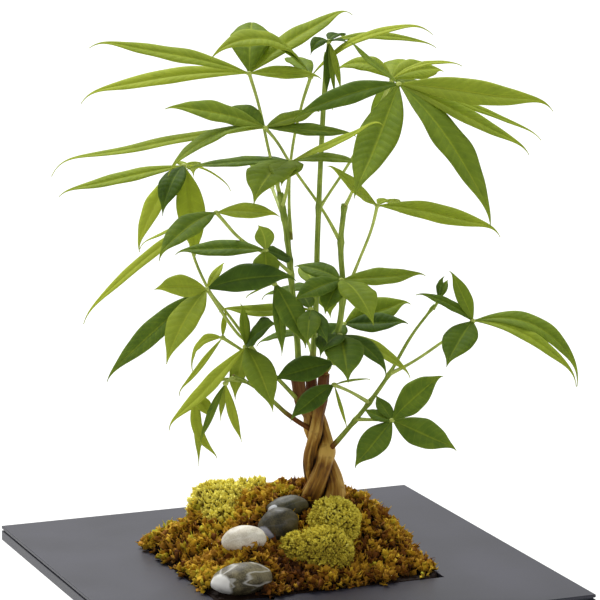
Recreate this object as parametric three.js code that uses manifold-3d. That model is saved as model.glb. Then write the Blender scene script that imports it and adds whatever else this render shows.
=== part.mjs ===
// Potted money tree: three braided trunk strands carry green stems with hand-shaped compound
// leaves. The plant stands in a square matte grey pot with a broad flat rim, and its soil is
// dressed with brown moss, two pale moss cushions and four pebbles.
//
// Millimetres, +Z up. The origin is the centre of the pot's underside, X and Y run along the
// pot's sides. Everything that grows or lies in the pot is placed in the plant's own frame:
// its origin is the centre of the rim's top face, x is right, y is away and z is up as the
// plant is seen from its best side, and it is turned by PLANT_TURN inside the pot.

import * as THREE from 'three';
import { mergeVertices } from 'three/addons/utils/BufferGeometryUtils.js';
import Module from 'manifold-3d';

const wasm = await Module();
wasm.setup();

// Pot
const POT_HEIGHT = 80;
const RIM_SIDE = 260;
const RIM_THICK = 8.7;
const WELL_SIDE = 134.6;
const WELL_FLOOR_SIDE = 117;
const BODY_TOP_SIDE = 146;
const BODY_FOOT_SIDE = 128;
const FLOOR_THICK = 6;
const GROOVE_DEPTH = 1;
const GROOVE_WIDTH = 1;
const GROOVE_BELOW_TOP = 1.8;
const CUT_MARGIN = 1;

// Fill
const GAP = 0.35;
const SOIL_TOP = -12;
const MOSS_SIDE = WELL_SIDE - 1;
const MOSS_CELLS = 12;

// Trunk
const TRUNK_BASE = [20, 12];
const TRUNK_NECK = [16, 12];
const NECK_HEIGHT = 81;
const STRAND_FOOT = -30;
const BRAID_PITCH = 80;
const BRAID_BASE_RADIUS = 7.1;
const BRAID_NECK_RADIUS = 3.3;
const BRAID_LEVELS = 12;
const BRAID_TAPER_FROM = 34;
const BRAID_TAPER_EASE = 0.8;
const STRAND_SIDES = 8;
const STRAND_SHARE = 0.78;
const STRAND_LEAN_SWELL = 1.1;
const PLANT_TURN = -22;

// Leaves
const STALK_RADIUS = 1;
const HUB_RADIUS = 1.9;
const BLADE_THICK = 1;
const BLADE_FOLD = 0.1;
const BLADE_HOOK = 0.03;
const BLADE_STATIONS = [0.1, 0.3, 0.52, 0.78];
const BLADE_SKEW = 0.9;
const BLADE_TAPER = 1.15;

// Stones and cushions
const STONE_BUMP = 0.03;
const CUSHION_BUMP = 0.05;

const deg = THREE.MathUtils.degToRad;
const vec = (point) => new THREE.Vector3(...point);

// ---------------------------------------------------------------- solids and booleans

function solid(geometry) {
  const plain = geometry.clone();
  plain.deleteAttribute('normal');
  plain.deleteAttribute('uv');
  const merged = mergeVertices(plain, 1e-4);
  return new wasm.Manifold(new wasm.Mesh({
    numProp: 3,
    vertProperties: new Float32Array(merged.attributes.position.array),
    triVerts: new Uint32Array(merged.index.array),
  }));
}

function geometryOf(body) {
  const { vertProperties, triVerts } = body.getMesh();
  const geometry = new THREE.BufferGeometry();
  geometry.setAttribute('position', new THREE.BufferAttribute(new Float32Array(vertProperties), 3));
  geometry.setIndex(new THREE.BufferAttribute(new Uint32Array(triVerts), 1));
  geometry.computeVertexNormals();
  return geometry;
}

// A closed skin over a row of rings, each end closed by a fan to its ring's centre.
function loft(rings) {
  const sides = rings[0].length;
  const total = (ring) => ring.reduce((sum, p) => sum.add(p), new THREE.Vector3());
  const centre = (ring) => total(ring).divideScalar(sides);
  const points = [...rings.flat(), centre(rings[0]), centre(rings.at(-1))];
  const foot = rings.length * sides;
  const index = [];
  for (let side = 0; side < sides; side += 1) {
    const next = (side + 1) % sides;
    for (let level = 0; level < rings.length - 1; level += 1) {
      const low = level * sides;
      const high = low + sides;
      index.push(low + side, low + next, high + next, low + side, high + next, high + side);
    }
    const last = (rings.length - 1) * sides;
    index.push(foot, next, side, foot + 1, last + side, last + next);
  }
  const geometry = new THREE.BufferGeometry().setFromPoints(points);
  geometry.setIndex(index);
  return geometry;
}

// A round bar of one thickness along a smooth line through the points.
function rod(points, radius, sides, steps) {
  const section = new THREE.Shape().setFromPoints(
    Array.from({ length: sides }, (_, side) => {
      const angle = (side / sides) * Math.PI * 2;
      return new THREE.Vector2(Math.cos(angle) * radius, Math.sin(angle) * radius);
    }),
  );
  const extrudePath = new THREE.CatmullRomCurve3(points.map(vec), false, 'centripetal');
  return new THREE.ExtrudeGeometry(section, { steps, extrudePath, bevelEnabled: false });
}

// A square block between two levels, its sides given at the top and at the bottom.
function squareBlock(topSide, bottomSide, low, high) {
  const corner = Math.SQRT1_2;
  const block = new THREE.CylinderGeometry(
    topSide * corner, bottomSide * corner, high - low, 4, 1, false, Math.PI / 4,
  );
  return block.rotateX(Math.PI / 2).translate(0, 0, (high + low) / 2);
}

// A rounded stone or cushion: a sphere drawn out to three radii, with low bumps.
function lump([rx, ry, rz], bump, phase, grow = 0) {
  const sphere = new THREE.SphereGeometry(1, 10, 7);
  const place = sphere.attributes.position;
  for (let i = 0; i < place.count; i += 1) {
    const p = new THREE.Vector3().fromBufferAttribute(place, i);
    const broad = Math.sin(3 * p.x + phase) * Math.cos(2.5 * p.y - phase);
    const wave = broad + 0.5 * Math.sin(4 * p.z + phase);
    const reach = 1 + bump * wave;
    place.setXYZ(i, p.x * (rx * reach + grow), p.y * (ry * reach + grow), p.z * (rz * reach + grow));
  }
  return sphere;
}

function joined(bodies) {
  return bodies.reduce((whole, body) => whole.add(body));
}

// What is left of a body after the cutters, without the slivers beyond them.
function cutBy(body, cutters) {
  const rest = cutters.reduce((left, cutter) => left.subtract(cutter), body);
  return rest.decompose().reduce((most, piece) => (piece.volume() > most.volume() ? piece : most));
}

// ---------------------------------------------------------------- finishes and frames

const finish = (color, roughness) => new THREE.MeshStandardMaterial({ color, roughness, metalness: 0 });
const FINISH = {
  pot: finish('#6f6f78', 0.75),
  soil: finish('#3a2a1c', 0.95),
  brownMoss: finish('#8a6420', 0.95),
  paleMoss: finish('#9c9630', 0.95),
  darkStone: finish('#4e5148', 0.45),
  paleStone: finish('#d8d2c4', 0.5),
  bark: finish('#82602a', 0.8),
  greenStem: finish('#6e822d', 0.6),
  upperLeaf: finish('#7d962c', 0.45),
  lowerLeaf: finish('#4c6a22', 0.42),
};

const object = new THREE.Group();
const plant = new THREE.Group();
plant.position.z = POT_HEIGHT;
plant.rotation.z = deg(PLANT_TURN);
object.add(plant);

function add(group, name, geometry, material, position = [0, 0, 0]) {
  const mesh = new THREE.Mesh(geometry, material);
  mesh.name = name;
  mesh.position.set(...position);
  group.add(mesh);
  return mesh;
}

// ---------------------------------------------------------------- pot and soil

function buildPot() {
  const rimBottom = POT_HEIGHT - RIM_THICK;
  const rim = solid(squareBlock(RIM_SIDE, RIM_SIDE, rimBottom, POT_HEIGHT));
  const body = solid(squareBlock(BODY_TOP_SIDE, BODY_FOOT_SIDE, 0, rimBottom + CUT_MARGIN));
  const well = solid(squareBlock(WELL_SIDE, WELL_FLOOR_SIDE, FLOOR_THICK, POT_HEIGHT));
  const grooveTop = POT_HEIGHT - GROOVE_BELOW_TOP;
  const grooveLow = grooveTop - GROOVE_WIDTH;
  const outside = RIM_SIDE + 2 * CUT_MARGIN;
  const band = solid(squareBlock(outside, outside, grooveLow, grooveTop));
  const core = RIM_SIDE - 2 * GROOVE_DEPTH;
  const kept = squareBlock(core, core, grooveLow - CUT_MARGIN, grooveTop + CUT_MARGIN);
  const groove = band.subtract(solid(kept));
  add(object, 'pot', geometryOf(rim.add(body).subtract(well).subtract(groove)), FINISH.pot);
}

// The inside width of the well at a height measured from the rim's top face.
function wellSide(z) {
  return THREE.MathUtils.mapLinear(z, FLOOR_THICK - POT_HEIGHT, 0, WELL_FLOOR_SIDE, WELL_SIDE);
}

// ---------------------------------------------------------------- trunk

const PRONGS = {
  trunk_strand_left: { angle: 180, top: [[8, 10, 91], [6, 10, 103]], topRadius: 3.6 },
  trunk_strand_rear: { angle: 60, top: [[14.5, 16.5, 91], [13.5, 17, 103]], topRadius: 3 },
  trunk_strand_right: { angle: 300, top: [[19.5, 8.5, 91], [21, 8, 106]], topRadius: 3 },
};

// Each strand winds round the trunk's line up to the neck and then leans out on its own.
function strandGeometry({ angle, top, topRadius }, grow = 0) {
  const line = [];
  const radii = [];
  for (let level = 0; level <= BRAID_LEVELS; level += 1) {
    const share = level / BRAID_LEVELS;
    const z = THREE.MathUtils.lerp(STRAND_FOOT, NECK_HEIGHT, share);
    const above = Math.max(0, (z - BRAID_TAPER_FROM) / (NECK_HEIGHT - BRAID_TAPER_FROM));
    const drawnIn = Math.pow(above, BRAID_TAPER_EASE);
    const reach = THREE.MathUtils.lerp(BRAID_BASE_RADIUS, BRAID_NECK_RADIUS, drawnIn);
    const turn = deg(angle + (360 * (z - NECK_HEIGHT)) / BRAID_PITCH);
    const x = THREE.MathUtils.lerp(TRUNK_BASE[0], TRUNK_NECK[0], above) + reach * Math.cos(turn);
    const y = THREE.MathUtils.lerp(TRUNK_BASE[1], TRUNK_NECK[1], above) + reach * Math.sin(turn);
    line.push(new THREE.Vector3(x, y, z));
    radii.push(reach * STRAND_SHARE);
  }
  line.push(...top.map(vec));
  radii.push(radii.at(-1) * STRAND_LEAN_SWELL, topRadius);
  const curve = new THREE.CatmullRomCurve3(line, false, 'centripetal');
  const steps = line.length - 1;
  const { normals, binormals } = curve.computeFrenetFrames(steps);
  const rings = [];
  for (let i = 0; i <= steps; i += 1) {
    rings.push(Array.from({ length: STRAND_SIDES }, (_, side) => {
      const around = (side / STRAND_SIDES) * Math.PI * 2;
      return line[i].clone()
        .addScaledVector(normals[i], Math.cos(around) * (radii[i] + grow))
        .addScaledVector(binormals[i], Math.sin(around) * (radii[i] + grow));
    }));
  }
  return loft(rings);
}

// ---------------------------------------------------------------- stems

const STEMS = {
  stem_left: {
    radius: 1.7,
    line: [[6, 10, 103.5], [6, 9, 117], [3, 6, 152], [0, 8, 183], [-4, 12, 209]],
  },
  stem_middle: {
    radius: 1.6,
    line: [[13.6, 17, 103.5], [16, 15, 141], [17, 13, 185], [20, 12, 253], [22, 12, 288]],
  },
  stem_right: {
    radius: 1.6,
    line: [[21, 8, 106.5], [26, 4, 121], [31, 2, 150], [30, 4, 182], [32, 4, 204]],
  },
  branch_right: {
    radius: 1.4,
    line: [[24, 8, 62], [33, 2, 74], [46, -4, 92], [57, -3, 108], [70, 4, 129], [83, 11, 145]],
  },
  twig_left_upper: {
    radius: 1.2,
    line: [[8, 10, 88], [-5, -2, 105], [-15, -12, 117], [-23, -21, 126]],
  },
  twig_left_lower: {
    radius: 1.2,
    line: [[12, 10, 74], [0, 2, 84], [-10, -10, 96], [-21, -22, 107], [-30, -30, 113]],
  },
};

function stemGeometry({ radius, line }, grow = 0) {
  return rod(line, radius + grow, 6, line.length * 2);
}

// ---------------------------------------------------------------- leaves

// Each blade is [right, away, up, width, droop, facing, fold]: its tip from the hub, its
// greatest width, how far its middle bows up off the straight line, how many degrees its upper
// face is rolled towards the front and, where it isn't BLADE_FOLD, how steeply it is folded.
const LEAVES = [
  { name: 'leaf_top_left', stem: 'stem_left', hub: [-21, 5, 277], tone: 'upperLeaf',
    stalk: [[-4, 12, 207], [-10, 9, 232], [-16, 6, 260]],
    blades: [[-88, -8, 15, 15, 3.5, 25], [-95, 23, -20, 13, 6, 35], [1, 55, 19, 23, 10, 0, -0.15],
      [58, 60, 26, 14, 5, 20], [40, -2, -3, 9, 2, 45]] },
  { name: 'leaf_crown_left', stem: 'stem_left', hub: [13, 20, 273], tone: 'upperLeaf',
    stalk: [[2, 8, 183], [1, 17, 204], [2, 23, 226], [8, 20, 257]],
    blades: [[-55, -35, 14, 22, 16, 20], [-22, -20, 18, 13, 4, 30], [-14, 51, 3, 14, 4, 0],
      [67, -28, 27, 10, 11, 25]] },
  { name: 'leaf_crown_top', stem: 'stem_middle', hub: [23, 12, 294], tone: 'upperLeaf',
    stalk: [[22, 12, 284], [22.5, 12, 290]],
    blades: [[10, -6, 0, 8, 1, 0], [61, 29, -7, 9, 4.5, 20], [9, 24, -1, 10, 3, 0],
      [-1, -8, -29, 4.5, 1, 10], [3, -12, -30, 3, 1, 10], [6, -10, -27, 4, 2, 10],
      [-10, -14, -6, 8, 4, 20]] },
  { name: 'leaf_top_right', stem: 'stem_right', hub: [61, -25, 275], tone: 'upperLeaf',
    stalk: [[32, 4, 202], [36, -4, 212], [44, -12, 234], [54, -20, 257]],
    blades: [[83, -15, -13, 16, 2.5, 50], [79, 13, -33, 10, 3, 15], [70, -20, -36, 13, 2, 25],
      [48, -47, -71, 26, 8, 0], [-25, -50, -55, 25, -1, 0], [-57, -5, -19, 14, 3.5, 45],
      [-36, 33, -19, 9, 4, 30], [-28, 30, 19, 6, 0, 0]] },
  { name: 'leaf_rear_top', stem: 'stem_middle', hub: [59, 35, 270], tone: 'upperLeaf',
    stalk: [[18, 13, 200], [22, 14, 206], [35, 20, 225], [47, 28, 245]],
    blades: [[14, 60, 0, 20, 6, 0, -0.05], [30, 26, 1, 18, 3, 30], [40, 10, 6, 7, 5, 10],
      [-4, 36, -52, 18, 6, 0], [20, 48, -22, 15, 5, 0], [-32, 20, 1, 13, 7, 30]] },
  { name: 'leaf_left_upper', stem: 'stem_right', hub: [-12, -12, 249], tone: 'lowerLeaf',
    stalk: [[30, 4, 182], [20, 17, 198], [4, 18, 221], [-6, 0, 240]],
    blades: [[-54, -26, 14, 18, 3, 35], [-119, 12, -29, 11, 4.5, 20], [-52, -44, -20, 16, 9, 0],
      [30, 20, 6, 12, 1, 20], [50, 8, -6, 12, 1, 25], [-26, 20, 6, 16, 2, 40]] },
  { name: 'leaf_centre_upper', stem: 'stem_left', hub: [2, 2, 228], tone: 'lowerLeaf',
    stalk: [[-3, 11, 200], [0, 5, 213]],
    blades: [[-58, -6, -4, 12, 2, 15], [40, -14, 0, 12, 3, 15], [-20, -42, -17, 28, 6, 0],
      [49, -98, 34, 7, 1, 50], [-31, 38, -5, 8, 1, 10], [-5, -36, -8, 19, 3, 0]] },
  { name: 'leaf_left_rear', stem: 'twig_left_upper', hub: [-59, 46, 219], tone: 'upperLeaf',
    stalk: [[-11, -8, 112], [-30, -2, 138], [-46, 15, 156], [-58, 38, 189]],
    blades: [[-71, -6, -17, 12, 1.5, 25], [-25, -16, -47, 19, 5, 0], [6, -16, -52, 17, 3, 0],
      [26, 20, -18, 7, 4, 10], [4, 46, -14, 14, 4, 0], [-11, -30, -24, 15, 5, 0]] },
  { name: 'leaf_left_middle', stem: 'stem_left', hub: [-39, -20, 203], tone: 'lowerLeaf',
    stalk: [[1, 7, 171], [-23, -8, 184]],
    blades: [[-72, -28, -57, 9, 6, 20], [35, -14, 0, 11, 2, 40], [-30, -40, -20, 16, 5, 20],
      [-43, 14, -23, 8, 2, 10]] },
  { name: 'leaf_right_arc', stem: 'stem_right', hub: [50, -8, 205], tone: 'upperLeaf',
    stalk: [[31, 3, 149], [40, -3, 173], [47, -6, 192]],
    blades: [[67, -22, -14, 13, 4, 40], [-28, -32, 27, 12, 0, 55], [14, 44, -12, 11, 5, 0]] },
  { name: 'leaf_rear_high', stem: 'stem_left', hub: [-9, 45, 207], tone: 'lowerLeaf',
    stalk: [[-2, 10, 195], [-6, 28, 202]],
    blades: [[4, 60, -10, 14, 6, 0], [-12, 50, 6, 13, 4, 0]] },
  { name: 'leaf_left_stem', stem: 'stem_left', hub: [-12, -20, 182], tone: 'lowerLeaf',
    stalk: [[3, 7, 163], [-6, -8, 174]],
    blades: [[-50, 8, -4, 14, 2, 30], [-4, -4, 14.5, 11, 2, -40], [15, 24, -11, 11, 0.5, 45],
      [1, -14, -16, 15, 0, 0]] },
  { name: 'leaf_left_lower', stem: 'twig_left_upper', hub: [-44, -35, 163], tone: 'lowerLeaf',
    stalk: [[-18, -16, 121], [-21, -15, 127], [-28, -22, 136]],
    blades: [[-28, -17, 3, 15, 1.5, 45], [-54, -23, -47, 15, 3, 35], [-21, -33, -35, 20, 4, 0],
      [49, -7, 6, 17.5, 4, 50], [9, 30, 9, 5, 1, 10]] },
  { name: 'leaf_low_left', stem: 'twig_left_upper', hub: [-23, -27, 129], tone: 'lowerLeaf',
    stalk: [[-22, -20, 125], [-23, -24, 127]],
    blades: [[-42, -15, -44, 11, 0.5, 25], [15.5, -40, -28, 17, 4, 10], [-6, 13, -33, 12, 2, 10],
      [17, -11, 15, 22, 2, 35], [-3, 2, 24, 7, 1, 20]] },
  { name: 'leaf_low_left_small', stem: 'twig_left_upper', hub: [-36, -12, 131], tone: 'upperLeaf',
    stalk: [[-15, -12, 117], [-26, -10, 124]],
    blades: [[-24, -10, -31, 4.5, 0.5, 20], [-17, 12, -23, 9, 8, 40], [2, 6, 15, 3, 1, 20]] },
  { name: 'leaf_low_left_tip', stem: 'twig_left_lower', hub: [-34, -35, 110], tone: 'lowerLeaf',
    stalk: [[-29, -29, 112.3], [-32, -33, 111.5]],
    blades: [[9, -14, -30, 5.5, -1.5, 10], [-13, -14, -32, 5, 2, 10], [-3, 12, -24, 4, 1, 10]] },
  { name: 'leaf_low_left_end', stem: 'twig_left_lower', hub: [-51, -20, 101.5], tone: 'lowerLeaf',
    stalk: [[-25, -25, 109.5], [-38, -22, 109]],
    blades: [[12, -12, -35, 7, -8, 10], [9, -12, -12, 9, 0, 10], [1, 10, -45, 5, 2, 10]] },
  { name: 'leaf_right_stem', stem: 'stem_right', hub: [30, -14, 164], tone: 'lowerLeaf',
    stalk: [[31, 2, 152], [31, -7, 160]],
    blades: [[47, 8, 1, 13, 0.5, 35], [-26, -22, -8, 14, 2, 30], [-26, 24, 3, 13, 2, 25],
      [17, -41, -17, 20, 5, 0], [-9, -16, -16, 14, 2, 10]] },
  { name: 'leaf_right_low_stem', stem: 'stem_right', hub: [32, 16, 133], tone: 'lowerLeaf',
    stalk: [[28, 3, 126], [31, 10, 131]],
    blades: [[38, 12, 9, 18.5, 1.5, 40], [36, -10, 2, 15, 0.5, 35], [-12, -24, -8, 15, 2, 15]] },
  { name: 'leaf_front_right', stem: 'stem_right', hub: [29, -34, 137], tone: 'lowerLeaf',
    stalk: [[25, 5, 117], [27, -16, 128]],
    blades: [[25, -18, -19, 13, 5, 10], [39, 4, -25, 12, 4, 25], [4, -44, -17, 22, 4, 0],
      [-11, -30, -6, 16, 3, 0]] },
  { name: 'leaf_front_left', stem: 'stem_right', hub: [26, -28, 120], tone: 'lowerLeaf',
    stalk: [[22.5, 6.8, 110.5], [24, -10, 116.5]],
    blades: [[-33, -16, -7, 16, 1.5, 45], [-12, 20, -8, 10, 2, 0]] },
  { name: 'leaf_front_low', stem: 'branch_right', hub: [26, -34, 109], tone: 'lowerLeaf',
    stalk: [[46, -4, 92], [35, -20, 102]],
    blades: [[-24, -22, -16, 12, 2, 40], [7, -6, -23.5, 2.4, 0, 10], [20, 4, 2, 4, 1, 0]] },
  { name: 'leaf_right_end', stem: 'branch_right', hub: [104, 0, 138], tone: 'upperLeaf',
    stalk: [[57, -3, 108], [70, -3, 115], [88, -1, 127]],
    blades: [[58, -12, -35, 15.5, 17, 25], [56, -30, -31, 9, 10, 25], [-13, 8, 27, 11, 1, 20],
      [-32, 4, 14, 10, 3, 20], [-16, -34, -19, 19, 2, 10]] },
  { name: 'leaf_right_bud', stem: 'branch_right', hub: [86, 13, 148], tone: 'lowerLeaf',
    stalk: [[82, 10, 143], [84.5, 12, 146]],
    blades: [[2.5, 0, 13, 9, 1, 20], [5, 10, 9, 5, 1, 10]] },
  { name: 'leaf_right_low', stem: 'branch_right', hub: [58.5, -22, 86], tone: 'lowerLeaf',
    stalk: [[38, 0, 81.5], [49, -12, 84]],
    blades: [[28, -8, 27, 19, 1.5, 55], [35, -18, -13, 18, 0.5, 45], [-21, -22, -22, 16, 0.5, 30],
      [-16, 4, 5, 11, -0.5, 20], [-9, 14, 11, 9, 0, 10]] },
  { name: 'leaf_left_low_stem', stem: 'stem_left', hub: [-7, -30, 165], tone: 'lowerLeaf',
    stalk: [[4, 6, 146], [-2, -12, 157]],
    blades: [[17, -20, -32, 17, 2, 10], [4, -12, -38, 7, 3, 10], [-16, 20, -12, 6, 1, 15]] },
  { name: 'leaf_front_centre', stem: 'stem_left', hub: [13, -36, 152], tone: 'lowerLeaf',
    stalk: [[6, 7, 130], [9, -14, 143]],
    blades: [[-2, -24, -15, 13, 2, 0], [9, -24, -14, 10, 1, 10], [-5, 15, 5, 9, 1, 10],
      [-51, 26, -7, 9, 0, 40]] },
  { name: 'leaf_rear_centre', stem: 'stem_middle', hub: [17, 52, 146], tone: 'lowerLeaf',
    stalk: [[16, 15, 138], [17, 34, 145]],
    blades: [[32, 18, -12, 15, 3, 10], [-32, 14, -9, 15, 3, 10], [8, 36, -24, 16, 4, 0],
      [-10, 38, 6, 12, 2, 0]] },
  { name: 'leaf_rear_low', stem: 'stem_middle', hub: [9, 48, 120], tone: 'lowerLeaf',
    stalk: [[15, 16, 112], [12, 34, 118]],
    blades: [[26, 18, -13, 14, 3, 10], [-27, 10, -9, 14, 3, 10], [20, 36, -22, 14, 4, 0]] },
];

// A blade: narrow at the hub, widest before its middle, drawn out to a fine tip that hooks
// down, and folded a little along its midrib.
function bladeGeometry([right, away, up, width, droop, facing, fold = BLADE_FOLD]) {
  const tip = new THREE.Vector3(right, away, up);
  const chord = tip.clone().normalize();
  const lift = new THREE.Vector3(0, 0, 1).addScaledVector(chord, -chord.z).normalize();
  const across = new THREE.Vector3().crossVectors(chord, lift);
  const roll = across.y < 0 ? deg(facing) : -deg(facing);
  const bow = tip.clone().multiplyScalar(0.5).addScaledVector(lift, 2 * droop);
  const curve = new THREE.QuadraticBezierCurve3(new THREE.Vector3(), bow, tip);
  const upper = lift.clone().applyAxisAngle(chord, roll);
  const rings = BLADE_STATIONS.map((u) => {
    const hook = BLADE_HOOK * tip.length() * hooked(u);
    const middle = curve.getPoint(u).addScaledVector(lift, hook);
    const along = curve.getTangent(u);
    const side = new THREE.Vector3().crossVectors(along, upper).normalize();
    const normal = new THREE.Vector3().crossVectors(side, along);
    const swell = Math.sin(Math.PI * Math.pow(u, BLADE_SKEW));
    const half = (width / 2) * Math.pow(swell, BLADE_TAPER);
    const edge = (sign) => middle.clone().addScaledVector(side, sign * half)
      .addScaledVector(normal, fold * half);
    const face = (sign) => middle.clone().addScaledVector(normal, (sign * BLADE_THICK) / 2);
    return [edge(1), face(-1), edge(-1), face(1)];
  });
  return pointed(rings, new THREE.Vector3(), tip);
}

// How far a blade stands off its plain bow before its tip: nothing at both ends, 1 at its most.
function hooked(u) {
  return (Math.pow(u, 9) * (1 - u)) / 0.0387;
}

// A closed skin over rings that runs to a point at both ends.
function pointed(rings, start, end) {
  const geometry = loft(rings);
  const place = geometry.attributes.position;
  place.setXYZ(place.count - 2, start.x, start.y, start.z);
  place.setXYZ(place.count - 1, end.x, end.y, end.z);
  return geometry;
}

function leafSolid({ hub, stalk, blades }) {
  const local = [...stalk, hub].map((point) => vec(point).sub(vec(hub)).toArray());
  const parts = [
    solid(rod(local, STALK_RADIUS, 4, local.length * 2 - 1)),
    solid(new THREE.IcosahedronGeometry(HUB_RADIUS, 0)),
    ...blades.map((blade) => solid(bladeGeometry(blade))),
  ];
  return joined(parts);
}

function buildPlant() {
  const strands = Object.values(PRONGS).map((prong) => solid(strandGeometry(prong, GAP)));
  for (const [name, prong] of Object.entries(PRONGS)) {
    add(plant, name, strandGeometry(prong), FINISH.bark);
  }
  for (const [name, stem] of Object.entries(STEMS)) {
    const body = cutBy(solid(stemGeometry(stem)), strands);
    add(plant, name, geometryOf(body), FINISH.greenStem);
  }
  for (const leaf of LEAVES) {
    const clear = solid(stemGeometry(STEMS[leaf.stem], GAP)).translate(leaf.hub.map((v) => -v));
    const body = cutBy(leafSolid(leaf), [clear]);
    add(plant, leaf.name, geometryOf(body), FINISH[leaf.tone], leaf.hub);
  }
}

// ---------------------------------------------------------------- pebbles and moss

// Each lies at a place in the plant's frame, tilted about y and turned about z, in degrees.
const PEBBLES = {
  pebble_back: {
    at: [0, -5, 31.5], radii: [12, 8.5, 6.5], tilt: -6, turn: 10, phase: 0.4, tone: 'darkStone',
  },
  pebble_middle: {
    at: [-5, -23, 25.5], radii: [12.5, 9, 10], tilt: -32, turn: -15, phase: 1.3, tone: 'darkStone',
  },
  pebble_white: {
    at: [-24, -40, 22.5], radii: [12.5, 9, 7.5], tilt: -8, turn: -10, phase: 2.2, tone: 'paleStone',
  },
  pebble_front: {
    at: [-25, -71, 8.5], radii: [17, 12, 8.5], tilt: -5, turn: 12, phase: 3.1, tone: 'darkStone',
  },
};

// Cushions of curly pale moss, each a cluster of rounded lobes: [place], [radii], phase.
const CUSHIONS = {
  moss_cushion_left: [[[-38, 28, 25], [17, 17, 11], 0.5], [[-21, 37, 27], [12, 12, 9], 1.9],
    [[-35, 13, 19], [14, 13, 9], 3.2]],
  moss_cushion_front: [[[26, -15, 24], [14, 14, 15], 1.1], [[21, -36, 14], [15, 13, 14], 2.7],
    [[5, -36, 15], [9, 9, 9], 0.2]],
};

// The brown moss: it starts a little above the rim along the well's edge, rises to a shoulder,
// low in front and higher behind, and carries low hills: [x, y, height, spread]. Towards the
// corners at its left and right ends it falls to the rim over MOSS_CORNER.
const MOSS_EDGE = 2.5;
const SHOULDER = { front: 3, behind: 14, reach: 7, frontAt: -45, behindAt: 10 };
const MOSS_HILLS = [
  [8, 22, 20, 30], [-42, 28, 6, 16], [-22, -38, 9, 15], [2, -14, 5, 16], [54, 14, 6, 18],
];
const MOSS_CORNER = 60;

function mossHeight(x, y, toEdge, toCorner) {
  const hills = MOSS_HILLS.reduce((sum, [hx, hy, height, spread]) => {
    const away = ((x - hx) ** 2 + (y - hy) ** 2) / (2 * spread ** 2);
    return sum + height * Math.exp(-away);
  }, 0);
  const behind = THREE.MathUtils.smoothstep(y, SHOULDER.frontAt, SHOULDER.behindAt);
  const shoulder = THREE.MathUtils.lerp(SHOULDER.front, SHOULDER.behind, behind);
  const rise = 1 - Math.exp(-toEdge / SHOULDER.reach);
  const fall = THREE.MathUtils.smoothstep(toCorner, 0, MOSS_CORNER);
  return MOSS_EDGE + (shoulder + hills) * rise * fall;
}

function placed(geometry, { at, tilt, turn }) {
  return geometry.rotateY(deg(tilt)).rotateZ(deg(turn)).translate(...at);
}

// The moss bed in the pot's frame: a grid of heights over the well, with upright sides.
function mossBed() {
  const points = [];
  const index = [];
  const rowLength = MOSS_CELLS + 1;
  const step = MOSS_SIDE / MOSS_CELLS;
  for (let row = 0; row < rowLength; row += 1) {
    for (let column = 0; column < rowLength; column += 1) {
      const x = -MOSS_SIDE / 2 + column * step;
      const y = -MOSS_SIDE / 2 + row * step;
      const seen = new THREE.Vector2(x, y).rotateAround(new THREE.Vector2(), -deg(PLANT_TURN));
      const toEdge = MOSS_SIDE / 2 - Math.max(Math.abs(x), Math.abs(y));
      const toCorner = x * y > 0 ? MOSS_SIDE : MOSS_SIDE - Math.abs(x) - Math.abs(y);
      points.push(new THREE.Vector3(x, y, mossHeight(seen.x, seen.y, toEdge, toCorner)));
    }
  }
  for (let row = 0; row < MOSS_CELLS; row += 1) {
    for (let column = 0; column < MOSS_CELLS; column += 1) {
      const a = row * rowLength + column;
      index.push(a, a + 1, a + rowLength + 1, a, a + rowLength + 1, a + rowLength);
    }
  }
  const rim = [];
  for (let i = 0; i < MOSS_CELLS; i += 1) rim.push(i);
  for (let i = 0; i < MOSS_CELLS; i += 1) rim.push(MOSS_CELLS + i * rowLength);
  for (let i = 0; i < MOSS_CELLS; i += 1) rim.push(rowLength * rowLength - 1 - i);
  for (let i = 0; i < MOSS_CELLS; i += 1) rim.push((MOSS_CELLS - i) * rowLength);
  const floor = SOIL_TOP + GAP;
  const inward = (wellSide(floor) - 2 * GAP) / MOSS_SIDE;
  const base = points.length;
  rim.forEach((top) => points.push(points[top].clone().multiplyScalar(inward).setZ(floor)));
  points.push(new THREE.Vector3(0, 0, floor));
  rim.forEach((top, i) => {
    const next = (i + 1) % rim.length;
    index.push(top, base + i, base + next, top, base + next, rim[next]);
    index.push(points.length - 1, base + next, base + i);
  });
  const geometry = new THREE.BufferGeometry().setFromPoints(points);
  geometry.setIndex(index);
  return geometry;
}

function cushionSolid(lobes, grow = 0) {
  return joined(lobes.map(([at, radii, phase]) => {
    const lobe = lump(radii, CUSHION_BUMP, phase, grow);
    return solid(lobe.translate(...at));
  }));
}

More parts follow.
